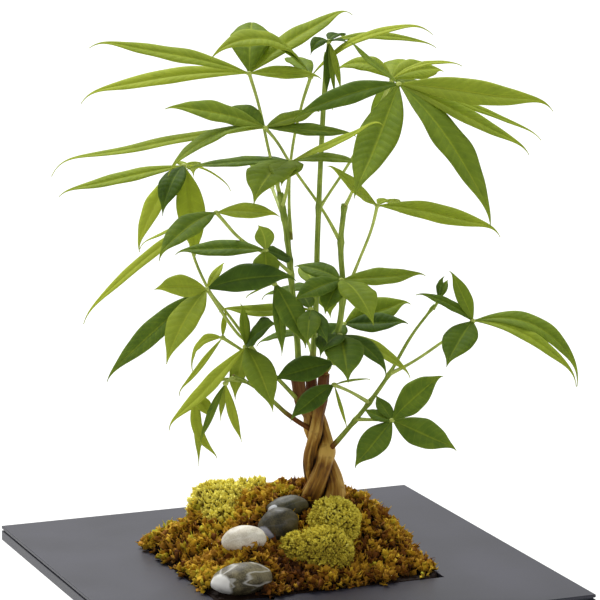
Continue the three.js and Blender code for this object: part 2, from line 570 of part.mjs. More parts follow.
function buildDressing() {
  const strands = Object.values(PRONGS).map((prong) => solid(strandGeometry(prong, GAP)));
  const pebbles = Object.values(PEBBLES).map(
    (pebble) => solid(placed(lump(pebble.radii, STONE_BUMP, pebble.phase, GAP), pebble)),
  );
  for (const [name, pebble] of Object.entries(PEBBLES)) {
    const stone = lump(pebble.radii, STONE_BUMP, pebble.phase);
    const mesh = add(plant, name, stone, FINISH[pebble.tone], pebble.at);
    mesh.rotation.set(0, deg(pebble.tilt), deg(pebble.turn), 'ZYX');
  }
  for (const [name, lobes] of Object.entries(CUSHIONS)) {
    const body = cutBy(cushionSolid(lobes), [...strands, ...pebbles]);
    add(plant, name, geometryOf(body), FINISH.paleMoss);
  }
  const cushions = Object.values(CUSHIONS).map((lobes) => cushionSolid(lobes, GAP));
  const turned = (body) => body.rotate([0, 0, PLANT_TURN]);
  const bed = cutBy(solid(mossBed()), [...strands, ...pebbles, ...cushions].map(turned));
  add(object, 'moss_bed', geometryOf(bed), FINISH.brownMoss, [0, 0, POT_HEIGHT]);

  const low = FLOOR_THICK + GAP - POT_HEIGHT;
  const fill = squareBlock(wellSide(SOIL_TOP) - 2 * GAP, wellSide(low) - 2 * GAP, low, SOIL_TOP);
  const soil = cutBy(solid(fill), strands.map(turned));
  add(object, 'soil', geometryOf(soil), FINISH.soil, [0, 0, POT_HEIGHT]);
}

buildPot();
buildPlant();
buildDressing();

export default object;
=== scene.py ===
"""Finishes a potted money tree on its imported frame.

A matte grey square pot with a broad rim holds brown moss, two pale moss cushions and four
pebbles. Three braided trunk strands rise out of them and carry green stems with hand-shaped
leaves. Growing pieces are modelled in millimetres in the plant's own frame, whose origin is
the centre of the rim's top face: x is right, y is away and z is up, as the plant is seen from
its best side. Each finished piece is then placed in the row frame, in metres.
"""

import logging
import math
import random
from contextlib import contextmanager
from dataclasses import dataclass
from enum import Enum
from typing import Callable, Iterator, Sequence

import bmesh
import bpy
import numpy as np
from mathutils import Matrix, Vector, noise


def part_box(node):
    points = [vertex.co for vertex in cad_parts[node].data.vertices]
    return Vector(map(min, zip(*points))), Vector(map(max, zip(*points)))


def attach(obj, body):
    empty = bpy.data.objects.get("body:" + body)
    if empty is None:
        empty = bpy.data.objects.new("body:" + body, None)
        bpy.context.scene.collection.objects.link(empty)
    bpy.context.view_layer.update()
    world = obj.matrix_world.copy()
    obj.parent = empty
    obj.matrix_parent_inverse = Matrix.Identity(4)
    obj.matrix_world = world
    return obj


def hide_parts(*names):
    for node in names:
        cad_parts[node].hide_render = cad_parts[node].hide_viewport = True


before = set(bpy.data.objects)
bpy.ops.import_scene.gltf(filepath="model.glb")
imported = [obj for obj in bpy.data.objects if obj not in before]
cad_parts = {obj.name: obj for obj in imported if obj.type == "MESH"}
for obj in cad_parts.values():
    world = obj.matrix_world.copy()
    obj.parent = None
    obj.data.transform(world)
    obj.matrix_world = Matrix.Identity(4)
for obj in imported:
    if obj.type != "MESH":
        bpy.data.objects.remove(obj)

LOG = logging.getLogger("money_tree")
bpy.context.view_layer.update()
BODY = "root"

MM = 0.001
RIM_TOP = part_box("pot")[1].z
PLANT_TURN = math.radians(-22)
POT_PLACE = Matrix.Scale(MM, 4)
RIM_PLACE = Matrix.Translation((0, 0, RIM_TOP)) @ POT_PLACE
PLANT_PLACE = RIM_PLACE @ Matrix.Rotation(PLANT_TURN, 4, "Z")
TO_PLANT = Matrix.Rotation(-PLANT_TURN, 3, "Z")

Place = tuple[float, float, float]
Colour = tuple[float, float, float, float]
Object = bpy.types.Object


def rgb(red: int, green: int, blue: int) -> Colour:
    """A colour from its red, green and blue on a screen, 0 to 255."""
    linear = [(c / 255 / 12.92) if c <= 10 else ((c / 255 + 0.055) / 1.055) ** 2.4
              for c in (red, green, blue)]
    return (*linear, 1.0)


def eased(value: float, low: float, high: float) -> float:
    """0 below low, 1 above high, and a smooth step between them."""
    share = min(1.0, max(0.0, (value - low) / (high - low)))
    return share * share * (3 - 2 * share)


class Slot(Enum):
    """The record's material slots."""

    POT = "grey_ceramic"
    SOIL = "potting_soil"
    BROWN_MOSS = "brown_moss"
    PALE_MOSS = "pale_moss"
    DARK_STONE = "dark_stone"
    PALE_STONE = "pale_stone"
    BARK = "bark"
    STEM = "green_stem"
    UPPER = "upper_leaf"
    LOWER = "lower_leaf"


# ---------------------------------------------------------------- modelling by hand


def select_only(*pieces: Object) -> None:
    """Leaves only these objects selected, with the first of them active."""
    bpy.ops.object.select_all(action="DESELECT")
    for piece in pieces:
        piece.select_set(True)
    bpy.context.view_layer.objects.active = pieces[0]


def added(operator: Callable, **settings) -> Object:
    """Adds one object with nothing else selected.

    Args:
        operator: The bpy.ops call that adds it.
        settings: The operator's own settings.

    Returns:
        The new object.
    """
    bpy.ops.object.select_all(action="DESELECT")
    operator(**settings)
    return bpy.context.active_object


@contextmanager
def editing(piece: Object, kind: str = "VERT") -> Iterator[None]:
    """Holds a piece in edit mode.

    Args:
        piece: The mesh object.
        kind: What is selected by: VERT, EDGE or FACE.
    """
    select_only(piece)
    bpy.ops.object.mode_set(mode="EDIT")
    bpy.ops.mesh.select_mode(type=kind)
    yield
    bpy.ops.object.mode_set(mode="OBJECT")


def select_faces(piece: Object, wanted: Callable[[Vector, Vector], bool]) -> None:
    """Selects faces of the piece that is in edit mode.

    Args:
        piece: The mesh object.
        wanted: Says whether a face of this centre and normal is selected.
    """
    mesh = bmesh.from_edit_mesh(piece.data)
    for face in mesh.faces:
        face.select_set(False)
    for face in mesh.faces:
        if wanted(face.calc_center_median(), face.normal):
            face.select_set(True)
    mesh.select_flush_mode()
    bmesh.update_edit_mesh(piece.data)


def apply_modifier(piece: Object, kind: str, **settings) -> None:
    """Adds one modifier to a piece and applies it.

    Args:
        piece: The mesh object.
        kind: The modifier's type, such as SOLIDIFY.
        settings: The modifier's own settings.
    """
    select_only(piece)
    modifier = piece.modifiers.new(kind, kind)
    for name, value in settings.items():
        setattr(modifier, name, value)
    bpy.ops.object.modifier_apply(modifier=modifier.name)


def joined(pieces: Sequence[Object]) -> Object:
    """Joins several mesh objects into the first of them and returns it."""
    select_only(*pieces)
    bpy.ops.object.join()
    return pieces[0]


def closed(piece: Object) -> Object:
    """Merges a piece's doubled points and turns its faces outwards.

    Args:
        piece: The mesh object, in millimetres.

    Returns:
        The same object.
    """
    with editing(piece):
        bpy.ops.mesh.select_all(action="SELECT")
        bpy.ops.mesh.remove_doubles(threshold=1e-4)
        bpy.ops.mesh.normals_make_consistent(inside=False)
    return piece


def tube(line: Sequence[Vector], radii: Sequence[float], sides: int, steps: int) -> Object:
    """Draws a smooth curve through points, gives it a round section and makes it a mesh.

    Args:
        line: The points of its middle.
        radii: Its radius at each of them.
        sides: Points round its section, an even number.
        steps: Sections between one point of the line and the next.

    Returns:
        The mesh object. Its first two rings of points close its end and its start.
    """
    bar = added(bpy.ops.curve.primitive_bezier_curve_add)
    bar.data.dimensions = "3D"
    points = bar.data.splines[0].bezier_points
    points.add(len(line) - len(points))
    for point, place, radius in zip(points, line, radii):
        point.co = place
        point.radius = radius
        point.handle_left_type = point.handle_right_type = "AUTO"
    bar.data.bevel_depth = 1
    bar.data.bevel_resolution = sides // 2 - 2
    bar.data.resolution_u = steps
    bar.data.use_fill_caps = True
    bpy.ops.object.convert(target="MESH")
    return bpy.context.active_object


def push_rings(bar: Object, sides: int, push: Callable[[Vector, float, float], float],
               tone: Callable[[Vector, float], float] | None = None) -> None:
    """Pushes each point of a tube straight off its ring's centre.

    Args:
        bar: The object that tube returned.
        sides: Points round its section.
        push: The distance from the ring's centre, how far along the tube the ring is, from
            0 to 1, and the angle round it.
        tone: If given, the tone that a point gets from its place and its push.
    """
    points = np.empty(len(bar.data.vertices) * 3)
    bar.data.vertices.foreach_get("co", points)
    points = points.reshape(-1, sides, 3)
    rings = points[2:]
    tones = np.zeros(points.shape[:2])
    for number, ring in enumerate(rings):
        centre = ring.mean(axis=0)
        along = number / (len(rings) - 1)
        for side in range(sides):
            out = ring[side] - centre
            far = push(Vector(centre), along, math.tau * side / sides)
            ring[side] += out / np.linalg.norm(out) * far
            if tone is not None:
                tones[number + 2, side] = tone(Vector(ring[side]), far)
    points[0], points[1] = rings[-1], rings[0]
    tones[0], tones[1] = tones[-1], tones[2]
    bar.data.vertices.foreach_set("co", points.ravel())
    if tone is not None:
        mark(bar, "tone", tones.ravel())


def mark(piece: Object, name: str, values: float | np.ndarray) -> None:
    """Writes one number, or one for each point, into a mesh's attribute.

    Args:
        piece: The mesh object.
        name: The attribute's name.
        values: The number for all its points, or an array with one for each.
    """
    attribute = piece.data.attributes.new(name, "FLOAT", "POINT")
    filled = np.broadcast_to(np.asarray(values, np.float32), len(piece.data.vertices))
    attribute.data.foreach_set("value", np.ascontiguousarray(filled))


def wear(piece: Object, *materials: bpy.types.Material) -> None:
    """Gives a mesh these material slots, in this order."""
    piece.data.materials.clear()
    for material in materials:
        piece.data.materials.append(material)


def settle(piece: Object, name: str, node: str, slot: Slot, place: Matrix) -> Object:
    """Moves a finished piece to its place in the row frame and fixes it to the pot.

    Args:
        piece: The mesh object, in millimetres.
        name: The piece's name.
        node: The CAD node that it stands for.
        slot: The record's material slot; not used.
        place: The frame that it was modelled in, as a matrix to the row frame.

    Returns:
        The same object, at the origin, with its place in its mesh.
    """
    piece.data.transform(place @ piece.matrix_world)
    piece.matrix_world = Matrix.Identity(4)
    piece.name = piece.data.name = name
    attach(piece, BODY)
    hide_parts(node)
    LOG.info("%s for %s: %d faces", name, node, len(piece.data.polygons))
    return piece


# ---------------------------------------------------------------- shader building


class Value:
    """A number that a shader node gives out. Python's operators on it add Math nodes."""

    def __init__(self, shader: "Shader", socket: bpy.types.NodeSocket) -> None:
        """Keeps the socket and the shader that it belongs to."""
        self.shader = shader
        self.socket = socket

    def maths(self, operation: str, *numbers) -> "Value":
        """One Math node of the operation on these numbers or values."""
        sockets = dict(enumerate(numbers))
        made = self.shader.node("ShaderNodeMath", {"operation": operation}, sockets)
        return Value(self.shader, made.outputs[0])

    def __add__(self, other) -> "Value":
        """The sum."""
        return self.maths("ADD", self, other)

    __radd__ = __add__

    def __sub__(self, other) -> "Value":
        """The difference."""
        return self.maths("SUBTRACT", self, other)

    def __rsub__(self, other) -> "Value":
        """The difference, with this value taken away."""
        return self.maths("SUBTRACT", other, self)

    def __mul__(self, other) -> "Value":
        """The product."""
        return self.maths("MULTIPLY", self, other)

    __rmul__ = __mul__

    def __pow__(self, power: float) -> "Value":
        """This value to a power."""
        return self.maths("POWER", self, power)

    def size(self) -> "Value":
        """The value without its sign."""
        return self.maths("ABSOLUTE", self)

    def wave(self, shift: float = 0.0) -> "Value":
        """The sine of the value in whole turns, moved on by shift turns."""
        return self.maths("SINE", (self + shift) * math.tau)

    def part(self) -> "Value":
        """What is left of the value past its last whole number."""
        return self.maths("FRACT", self)


class Shader:
    """A material's node tree, with one method that makes every node."""

    def __init__(self, name: str) -> None:
        """Starts an empty material of this name."""
        self.material = bpy.data.materials.new(name)
        self.material.use_nodes = True
        self.tree = self.material.node_tree
        self.tree.nodes.clear()

    def node(self, kind: str, settings: dict | None = None,
             sockets: dict | None = None) -> bpy.types.Node:
        """Makes one node.

        Args:
            kind: The node's type.
            settings: Its own settings, and a colour ramp's stops as (place, colour) pairs.
            sockets: What goes into its sockets: a value, a link or a number or colour.

        Returns:
            The node.
        """
        made = self.tree.nodes.new(kind)
        for name, value in (settings or {}).items():
            if name == "stops":
                self.set_stops(made.color_ramp, value)
            else:
                setattr(made, name, value)
        for name, value in (sockets or {}).items():
            if isinstance(value, Value):
                self.tree.links.new(value.socket, made.inputs[name])
            elif isinstance(value, bpy.types.NodeSocket):
                self.tree.links.new(value, made.inputs[name])
            else:
                made.inputs[name].default_value = value
        return made

    @staticmethod
    def set_stops(ramp: bpy.types.ColorRamp, stops: Sequence[tuple[float, Colour]]) -> None:
        """Fills a colour ramp with (place, colour) stops."""
        for _ in stops[2:]:
            ramp.elements.new(0.5)
        for element, (place, colour) in zip(ramp.elements, stops):
            element.position = place
            element.color = colour

    def uv(self) -> tuple[Value, Value]:
        """The piece's own map: how far along it a point is, and how far across or round."""
        split = self.node("ShaderNodeSeparateXYZ", None,
                          {0: self.node("ShaderNodeUVMap", {"uv_map": "UVMap"}).outputs[0]})
        return Value(self, split.outputs[0]), Value(self, split.outputs[1])

    def attribute(self, name: str) -> Value:
        """A number that the mesh holds for each point."""
        read = self.node("ShaderNodeAttribute", {"attribute_name": name})
        return Value(self, read.outputs["Fac"])

    def vector(self, x: Value, y: Value, z: Value) -> bpy.types.NodeSocket:
        """A vector of three values."""
        return self.node("ShaderNodeCombineXYZ", None, {0: x, 1: y, 2: z}).outputs[0]

    def place(self, centre: Place = (0, 0, 0), turn: float = 0.0) -> bpy.types.NodeSocket:
        """Object coordinates, in metres, from a centre and turned about z."""
        where = self.node("ShaderNodeTexCoord").outputs["Object"]
        sockets = {"Vector": where, "Location": centre, "Rotation": (0, 0, turn)}
        return self.node("ShaderNodeMapping", {"vector_type": "TEXTURE"}, sockets).outputs[0]

    def noise(self, scale: float, detail: float = 2.0,
              where: bpy.types.NodeSocket | None = None) -> Value:
        """Smooth noise between 0 and 1.

        Args:
            scale: Bumps in one unit of where.
            detail: How many finer layers it has.
            where: The vector it follows, or None for Object coordinates.
        """
        sockets = {"Vector": where or self.place(), "Scale": scale, "Detail": detail}
        return Value(self, self.node("ShaderNodeTexNoise", None, sockets).outputs[0])

    def grains(self, scale: float, where: bpy.types.NodeSocket | None = None) -> Value:
        """The distance to the nearest of many scattered points, in cells."""
        sockets = {"Vector": where or self.place(), "Scale": scale}
        return Value(self, self.node("ShaderNodeTexVoronoi", None, sockets).outputs[0])

    def step(self, value: Value, low: float, high: float) -> Value:
        """0 where the value is below low, 1 above high, and a smooth step between."""
        sockets = {"Value": value, "From Min": low, "From Max": high}
        made = self.node("ShaderNodeMapRange", {"interpolation_type": "SMOOTHSTEP"}, sockets)
        return Value(self, made.outputs[0])

    def ramp(self, value: Value, stops: Sequence[tuple[float, Colour]]) -> bpy.types.NodeSocket:
        """The colour that a ramp of (place, colour) stops gives a value."""
        return self.node("ShaderNodeValToRGB", {"stops": stops}, {0: value}).outputs[0]

    def mix(self, share: Value, first, second) -> bpy.types.NodeSocket:
        """Two colours mixed by a share, which is 1 for the second."""
        made = self.node("ShaderNodeMix", {"data_type": "RGBA"}, {0: share, 6: first, 7: second})
        return made.outputs[2]

    def bump(self, height: Value, depth: float) -> bpy.types.NodeSocket:
        """A normal for a height from 0 to 1 over a depth in metres."""
        sockets = {"Height": height, "Distance": depth}
        return self.node("ShaderNodeBump", None, sockets).outputs[0]

    def finish(self, colour, roughness, normal=None, lit_through: Colour | None = None,
               share: float = 0.0, **constants) -> bpy.types.Material:
        """Ends the material in its surface.

        Args:
            colour: The base colour, a link or a colour.
            roughness: The roughness, a value or a number.
            normal: The link of a bump, or None.
            lit_through: The colour of light that passes through a thin leaf, or None.
            share: How much of the surface lets light through.
            constants: Other numbers of the Principled shader, by socket name.

        Returns:
            The material.
        """
        sockets = {"Base Color": colour, "Roughness": roughness, **constants}
        if normal is not None:
            sockets["Normal"] = normal
        surface = self.node("ShaderNodeBsdfPrincipled", None, sockets).outputs[0]
        if lit_through is not None:
            thin = self.node("ShaderNodeBsdfTranslucent", None, {"Color": lit_through})
            mixed = {0: share, 1: surface, 2: thin.outputs[0]}
            surface = self.node("ShaderNodeMixShader", None, mixed).outputs[0]
        self.node("ShaderNodeOutputMaterial", None, {"Surface": surface})
        return self.material


# ---------------------------------------------------------------- finishes


@dataclass(frozen=True)
class SlateFinish:
    """Matte grey fired clay, faintly clouded and finely pitted."""

    name: str = "matte_slate"
    dark: Colour = rgb(38, 38, 48)
    light: Colour = rgb(48, 48, 60)
    roughness: float = 0.37

    def material(self) -> bpy.types.Material:
        """The finish as a material."""
        shader = Shader(self.name)
        cloud = shader.noise(18, 3)
        fine = shader.noise(900, 2)
        share = cloud * 0.7 + fine * 0.3
        colour = shader.mix(shader.step(share, 0.35, 0.65), self.dark, self.light)
        pits = shader.noise(1400, 1)
        roughness = self.roughness + (cloud - 0.5) * 0.12
        normal = shader.bump(pits, 0.00003)
        return shader.finish(colour, roughness, normal, **{"Specular IOR Level": 0.3})


@dataclass(frozen=True)
class SoilFinish:
    """Dark damp crumbly soil."""

    name: str = "damp_soil"
    dark: Colour = rgb(30, 20, 12)
    light: Colour = rgb(74, 52, 34)

    def material(self) -> bpy.types.Material:
        """The finish as a material."""
        shader = Shader(self.name)
        crumbs = shader.grains(420)
        colour = shader.mix(shader.step(crumbs + shader.noise(90), 0.6, 1.2), self.dark, self.light)
        return shader.finish(colour, 0.95, shader.bump(crumbs, 0.001))


@dataclass(frozen=True)
class StoneFinish:
    """A river pebble: speckled body, wavy pale veins and one pale patch."""

    name: str
    dark: Colour
    light: Colour
    pale: Colour
    veins: float
    patch: Place
    patch_reach: float
    centre: Place = (0, 0, 0)

    def material(self) -> bpy.types.Material:
        """The finish as a material."""
        shader = Shader(self.name)
        where = shader.place(self.centre)
        speck = shader.noise(1500, 2, where)
        cloud = shader.noise(130, 4, where)
        body = shader.mix(shader.step(cloud * 0.6 + speck * 0.4, 0.38, 0.62), self.dark, self.light)
        drawn = shader.node("ShaderNodeVectorMath", {"operation": "MULTIPLY"},
                            {0: where, 1: (0.35, 0.8, 1.5)})
        band = (shader.noise(95, 1.5, drawn.outputs[0]) - 0.5 + (cloud - 0.5) * 0.08).size()
        vein = (1 - shader.step(band, 0.0, 0.045)) * self.veins
        apart = shader.node("ShaderNodeVectorMath", {"operation": "DISTANCE"},
                            {0: where, 1: self.patch})
        wobble = Value(shader, apart.outputs["Value"]) + (cloud - 0.5) * 0.006
        patch = 1 - shader.step(wobble, self.patch_reach * 0.8, self.patch_reach)
        pale = vein.maths("MAXIMUM", vein, patch)
        colour = shader.mix(pale, body, self.pale)
        normal = shader.bump(speck * 0.3 + cloud, 0.0002)
        return shader.finish(colour, 0.45 + cloud * 0.2, normal, **{"Specular IOR Level": 0.35})


@dataclass(frozen=True)
class BarkFinish:
    """Smooth brown bark with lengthwise fibres that follow each strand."""

    name: str = "braided_bark"
    dark: Colour = rgb(40, 20, 5)
    brown: Colour = rgb(150, 104, 32)
    tan: Colour = rgb(206, 166, 82)
    red: Colour = rgb(84, 36, 6)

    def material(self) -> bpy.types.Material:
        """The finish as a material."""
        shader = Shader(self.name)
        along, turn = shader.uv()
        x, y = turn.wave(), turn.wave(0.25)
        fibre = shader.noise(1, 4, shader.vector(x * 3.2, y * 3.2, along * 9))
        thread = shader.noise(1, 2, shader.vector(x * 9, y * 9, along * 22))
        patches = shader.noise(55, 3)
        # The tone is lighter on ridges and darker with painted shade in the grooves between
        # strands.
        ridge_and_groove_shade = shader.attribute("tone")
        share = fibre * 0.6 + thread * 0.4 + (ridge_and_groove_shade - 0.5) * 0.9 + (patches - 0.5) * 0.4
        colour = shader.ramp(share, ((0.12, self.dark), (0.46, self.brown), (0.78, self.tan)))
        fleck = shader.step(shader.noise(160, 2), 0.58, 0.66) * 0.35
        reddened = shader.step(along + (patches - 0.5) * 0.2, 0.84, 0.94) * 0.85
        colour = shader.mix(fleck.maths("MAXIMUM", fleck, reddened), colour, self.red)
        normal = shader.bump(fibre * 0.5 + thread * 0.3 + patches * 0.4, 0.001)
        return shader.finish(colour, 0.62 + (thread - 0.5) * 0.3, normal,
                             **{"Specular IOR Level": 0.25})


@dataclass(frozen=True)
class StemFinish:
    """Green shoot skin, brown at its foot, with fine lengthwise streaks."""

    name: str
    green: Colour = rgb(110, 130, 44)
    light: Colour = rgb(158, 174, 76)
    brown: Colour = rgb(108, 66, 28)
    browned_to: float = 0.05

    def material(self) -> bpy.types.Material:
        """The finish as a material."""
        shader = Shader(self.name)
        along, turn = shader.uv()
        x, y = turn.wave(), turn.wave(0.25)
        streak = shader.noise(1, 3, shader.vector(x * 2.5, y * 2.5, along * 14))
        blotch = shader.noise(120, 2)
        skin = shader.mix(shader.step(streak * 0.6 + blotch * 0.4, 0.35, 0.65), self.green,
                          self.light)
        foot = 1 - shader.step(along + (blotch - 0.5) * 0.1, self.browned_to * 0.4,
                               self.browned_to)
        colour = shader.mix(foot, skin, self.brown)
        normal = shader.bump(streak, 0.0002)
        return shader.finish(colour, 0.5, normal, **{"Specular IOR Level": 0.15})


VEIN_SLANT = 0.09


@dataclass(frozen=True)
class LeafFinish:
    """One side of a glossy leaflet: pale midrib and side veins, a clouded skin, a light tip."""

    name: str
    deep: Colour = rgb(48, 74, 32)
    green: Colour = rgb(94, 120, 46)
    fresh: Colour = rgb(142, 162, 56)
    young: Colour = rgb(192, 204, 70)
    rib: float = 0.3
    # shade lifts every tone of the finish; the lower leaves' larger lift is painted light.
    shade: float = 0.02
    roughness: float = 0.6
    lit_through: Colour = rgb(178, 194, 34)
    share: float = 0.36

    def material(self) -> bpy.types.Material:
        """The finish as a material."""
        shader = Shader(self.name)
        along, side = shader.uv()
        across = (side * 2 - 1).size()
        cloud = shader.noise(120, 3)
        fine = shader.noise(900, 2)
        midrib = 1 - shader.step(across, 0.02, 0.09)
        rung = ((along - across * VEIN_SLANT) * shader.attribute("veins")).part()
        vein = shader.step((rung - 0.5).size(), 0.36, 0.5)
        tip = shader.step(along, 0.72, 1.0)
        margin = shader.step(across, 0.9, 1.0)
        tone = shader.attribute("tone") + self.shade
        tone = tone + (cloud - 0.5) * 0.35 + (fine - 0.5) * 0.1 + tip * 0.16
        tone = tone + midrib * self.rib + vein * 0.08 + margin * 0.1
        stops = ((0.05, self.deep), (0.35, self.green), (0.62, self.fresh), (1.0, self.young))
        colour = shader.ramp(tone, stops)
        roughness = self.roughness + (fine - 0.5) * 0.12
        normal = shader.bump(fine * 0.5 - vein * 0.5, 0.00008)
        return shader.finish(colour, roughness, normal, self.lit_through, self.share,
                             **{"Specular IOR Level": 0.06})


@dataclass(frozen=True)
class MossFinish:
    """Curly moss: each sprig has its own tone, darkened towards its foot with painted shade among
    the sprigs, and bright at its tips.
    """

    name: str
    stops: tuple[tuple[float, Colour], ...]
    foot: Colour

    def material(self) -> bpy.types.Material:
        """The finish as a material."""
        shader = Shader(self.name)
        tone = shader.attribute("tone") + (shader.noise(330, 2) - 0.5) * 0.35
        colour = shader.ramp(tone, self.stops)
        # The foot colour is painted shade deep among the sprigs; lit is the share that stays out of
        # it.
        lit = shader.step(shader.attribute("height"), 0.05, 0.85)
        colour = shader.mix(lit, self.foot, colour)
        normal = shader.bump(shader.noise(1500, 1), 0.0002)
        return shader.finish(colour, 0.85, normal, **{"Specular IOR Level": 0.2})


# The last colour of each moss is its foot colour, painted shade deep among the sprigs.
BROWN_MOSS = MossFinish(
    "brown_gold_moss",
    ((0.0, rgb(62, 32, 8)), (0.28, rgb(122, 72, 16)), (0.52, rgb(176, 128, 30)),
     (0.78, rgb(216, 176, 44)), (1.0, rgb(186, 178, 46))),
    rgb(26, 12, 4),
)
PALE_MOSS = MossFinish(
    "yellow_green_moss",
    ((0.0, rgb(146, 124, 40)), (0.35, rgb(204, 186, 62)), (0.7, rgb(240, 224, 82)),
     (1.0, rgb(250, 238, 112))),
    rgb(104, 84, 24),
)


# ---------------------------------------------------------------- pot and soil


@dataclass
class Pot:
    """The pot, one casting: a broad flat square rim, a planting well and the body below.

    Sizes are in mm. The side and the height come from the frame.
    """

    side: float = (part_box("pot")[1].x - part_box("pot")[0].x) / MM
    height: float = RIM_TOP / MM
    rim_thick: float = 8.7
    well_side: float = 134.6
    well_floor_side: float = 117
    body_top_side: float = 146
    body_foot_side: float = 128
    floor_thick: float = 6
    groove_below_top: float = 1.8
    groove: float = 1
    edge: float = 0.4

    def build(self) -> Object:
        """Models the pot out of one slab and returns it."""
        slab = added(bpy.ops.mesh.primitive_cube_add, size=1,
                     location=(0, 0, self.height - self.rim_thick / 2),
                     scale=(self.side, self.side, self.rim_thick))
        bpy.ops.object.transform_apply(location=True, rotation=True, scale=True)
        with editing(slab, "FACE"):
            select_faces(slab, lambda centre, normal: normal.z < -0.9)
            bpy.ops.mesh.inset(thickness=(self.side - self.body_top_side) / 2)
            self.draw_out(-(self.height - self.rim_thick),
                          self.body_foot_side / self.body_top_side)
            select_faces(slab, lambda centre, normal: normal.z > 0.9)
            bpy.ops.mesh.inset(thickness=(self.side - self.well_side) / 2)
            self.draw_out(self.floor_thick - self.height,
                          self.well_floor_side / self.well_side)
            self.cut_groove(slab)
        apply_modifier(slab, "BEVEL", width=self.edge, segments=3, limit_method="ANGLE",
                       angle_limit=math.radians(30))
        return slab

    def draw_out(self, rise: float, share: float) -> None:
        """Extrudes the selected face up or down and scales its sides to a share."""
        bpy.ops.mesh.extrude_region_move(TRANSFORM_OT_translate={"value": (0, 0, rise)})
        bpy.ops.transform.resize(value=(share, share, 1), center_override=(0, 0, 0))

    def cut_groove(self, slab: Object) -> None:
        """Cuts the thin groove round the rim's outer side, just under its top."""
        top = self.height - self.groove_below_top
        for level in (top, top - self.groove):
            bpy.ops.mesh.select_all(action="SELECT")
            bpy.ops.mesh.bisect(plane_co=(0, 0, level), plane_no=(0, 0, 1))
        outside = self.side / 2 - 1

        def in_band(centre: Vector, normal: Vector) -> bool:
            """Whether a face is part of the band that the groove sinks."""
            far = max(abs(centre.x), abs(centre.y))
            return far > outside and top - self.groove < centre.z < top

        select_faces(slab, in_band)
        bpy.ops.mesh.extrude_region_move(TRANSFORM_OT_translate={"value": (0, 0, 0)})
        share = 1 - 2 * self.groove / self.side
        bpy.ops.transform.resize(value=(share, share, 1), center_override=(0, 0, top))

    def dress(self, piece: Object) -> None:
        """Gives the pot its matte finish and fixes it in place."""
        wear(piece, SlateFinish().material())
        select_only(piece)
        bpy.ops.object.shade_flat()
        settle(piece, "pot_casting", "pot", Slot.POT, POT_PLACE)


class Soil:
    """The potting soil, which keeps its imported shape."""

    def dress(self) -> None:
        """Gives the packed soil its finish."""
        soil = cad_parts["soil"]
        for slot in soil.material_slots:
            slot.material = SoilFinish().material()
        LOG.info("soil keeps its packed shape")


# ---------------------------------------------------------------- trunk


@dataclass
class Strand:
    """One of the trunk's three braided strands, in mm in the plant's frame."""

    name: str
    angle: float
    top: tuple[Place, ...]
    top_radius: float
    foot: float = -30
    neck: float = 81
    pitch: float = 80
    base_reach: float = 7.1
    neck_reach: float = 3.3
    taper_from: float = 34
    share: float = 0.9
    levels: int = 14
    sides: int = 36

    def middle(self, z: float) -> tuple[Vector, float]:
        """The strand's middle at a height within the braid, and its radius there."""
        above = min(1.0, max(0.0, (z - self.taper_from) / (self.neck - self.taper_from)))
        reach = self.base_reach + (self.neck_reach - self.base_reach) * above**0.8
        turn = math.radians(self.angle + 360 * (z - self.neck) / self.pitch)
        out = Vector((math.cos(turn), math.sin(turn), 0))
        return Vector((20 - 4 * above, 12, z)) + out * reach, reach * self.share

    def line(self) -> tuple[list[Vector], list[float]]:
        """The strand's middle line and its radius at each point of it."""
        step = (self.neck - self.foot) / self.levels
        braid = [self.middle(self.foot + step * level) for level in range(self.levels + 1)]
        line = [point for point, _ in braid] + [Vector(point) for point in self.top]
        neck_radius = braid[-1][1]
        return line, [radius for _, radius in braid] + [neck_radius * 1.1, self.top_radius]

    def crevice(self, point: Vector) -> float:
        """How deep a point of the bark lies in the groove beside another strand."""
        if point.z > self.neck:
            return 0.0
        gaps = []
        for other in STRANDS:
            if other is not self:
                centre, radius = other.middle(point.z)
                gaps.append((point - centre).length - radius)
        return math.exp(-((max(0.0, min(gaps)) / 1.5) ** 2))

    def build(self) -> Object:
        """Models the strand as a bar with lengthwise ridges and returns it."""
        line, radii = self.line()
        bar = tube(line, radii, self.sides, 8)
        seed = self.angle

        def ridges(centre: Vector, along: float, turn: float) -> float:
            """How far the bark stands off here."""
            x, y = math.cos(turn), math.sin(turn)
            broad = noise.noise(Vector((x * 1.6, y * 1.6, along * 5 + seed)))
            fine = noise.noise(Vector((x * 4, y * 4, along * 9 + seed)))
            collar = sum(size * math.exp(-((centre - Vector(at)).length / 5) ** 2)
                         for at, size in KNOTS)
            return 0.9 * broad + 0.75 * fine + collar

        def tone(point: Vector, far: float) -> float:
            """Bright on ridges, and dark with painted shade in the grooves between strands."""
            return min(1.0, max(0.0, 0.5 + far * 0.4 - 0.6 * self.crevice(point)))

        push_rings(bar, self.sides, ridges, tone)
        return closed(bar)


KNOTS = (((24, 8, 61), 1.6), ((9, 10, 87), 0.8), ((13, 10, 73), 0.9), ((26, 6, 44), 1.0))

STRANDS = (
    Strand("trunk_strand_left", 180, ((8, 10, 91), (6, 10, 103)), 3.6),
    Strand("trunk_strand_rear", 60, ((14.5, 16.5, 91), (13.5, 17, 103)), 3),
    Strand("trunk_strand_right", 300, ((19.5, 8.5, 91), (21, 8, 106)), 3),
)


class Trunk:
    """The three braided strands."""

    def build(self) -> None:
        """Models and dresses each strand."""
        bark = BarkFinish().material()
        for strand in STRANDS:
            piece = strand.build()
            wear(piece, bark)
            select_only(piece)
            bpy.ops.object.shade_smooth()
            settle(piece, strand.name + "_bark", strand.name, Slot.BARK, PLANT_PLACE)


# ---------------------------------------------------------------- stems


class Skin(Enum):
    """How far up from its foot a stem is brown."""

    GREEN = 0.12
    HALF_BROWN = 0.16
    BROWN = 0.45


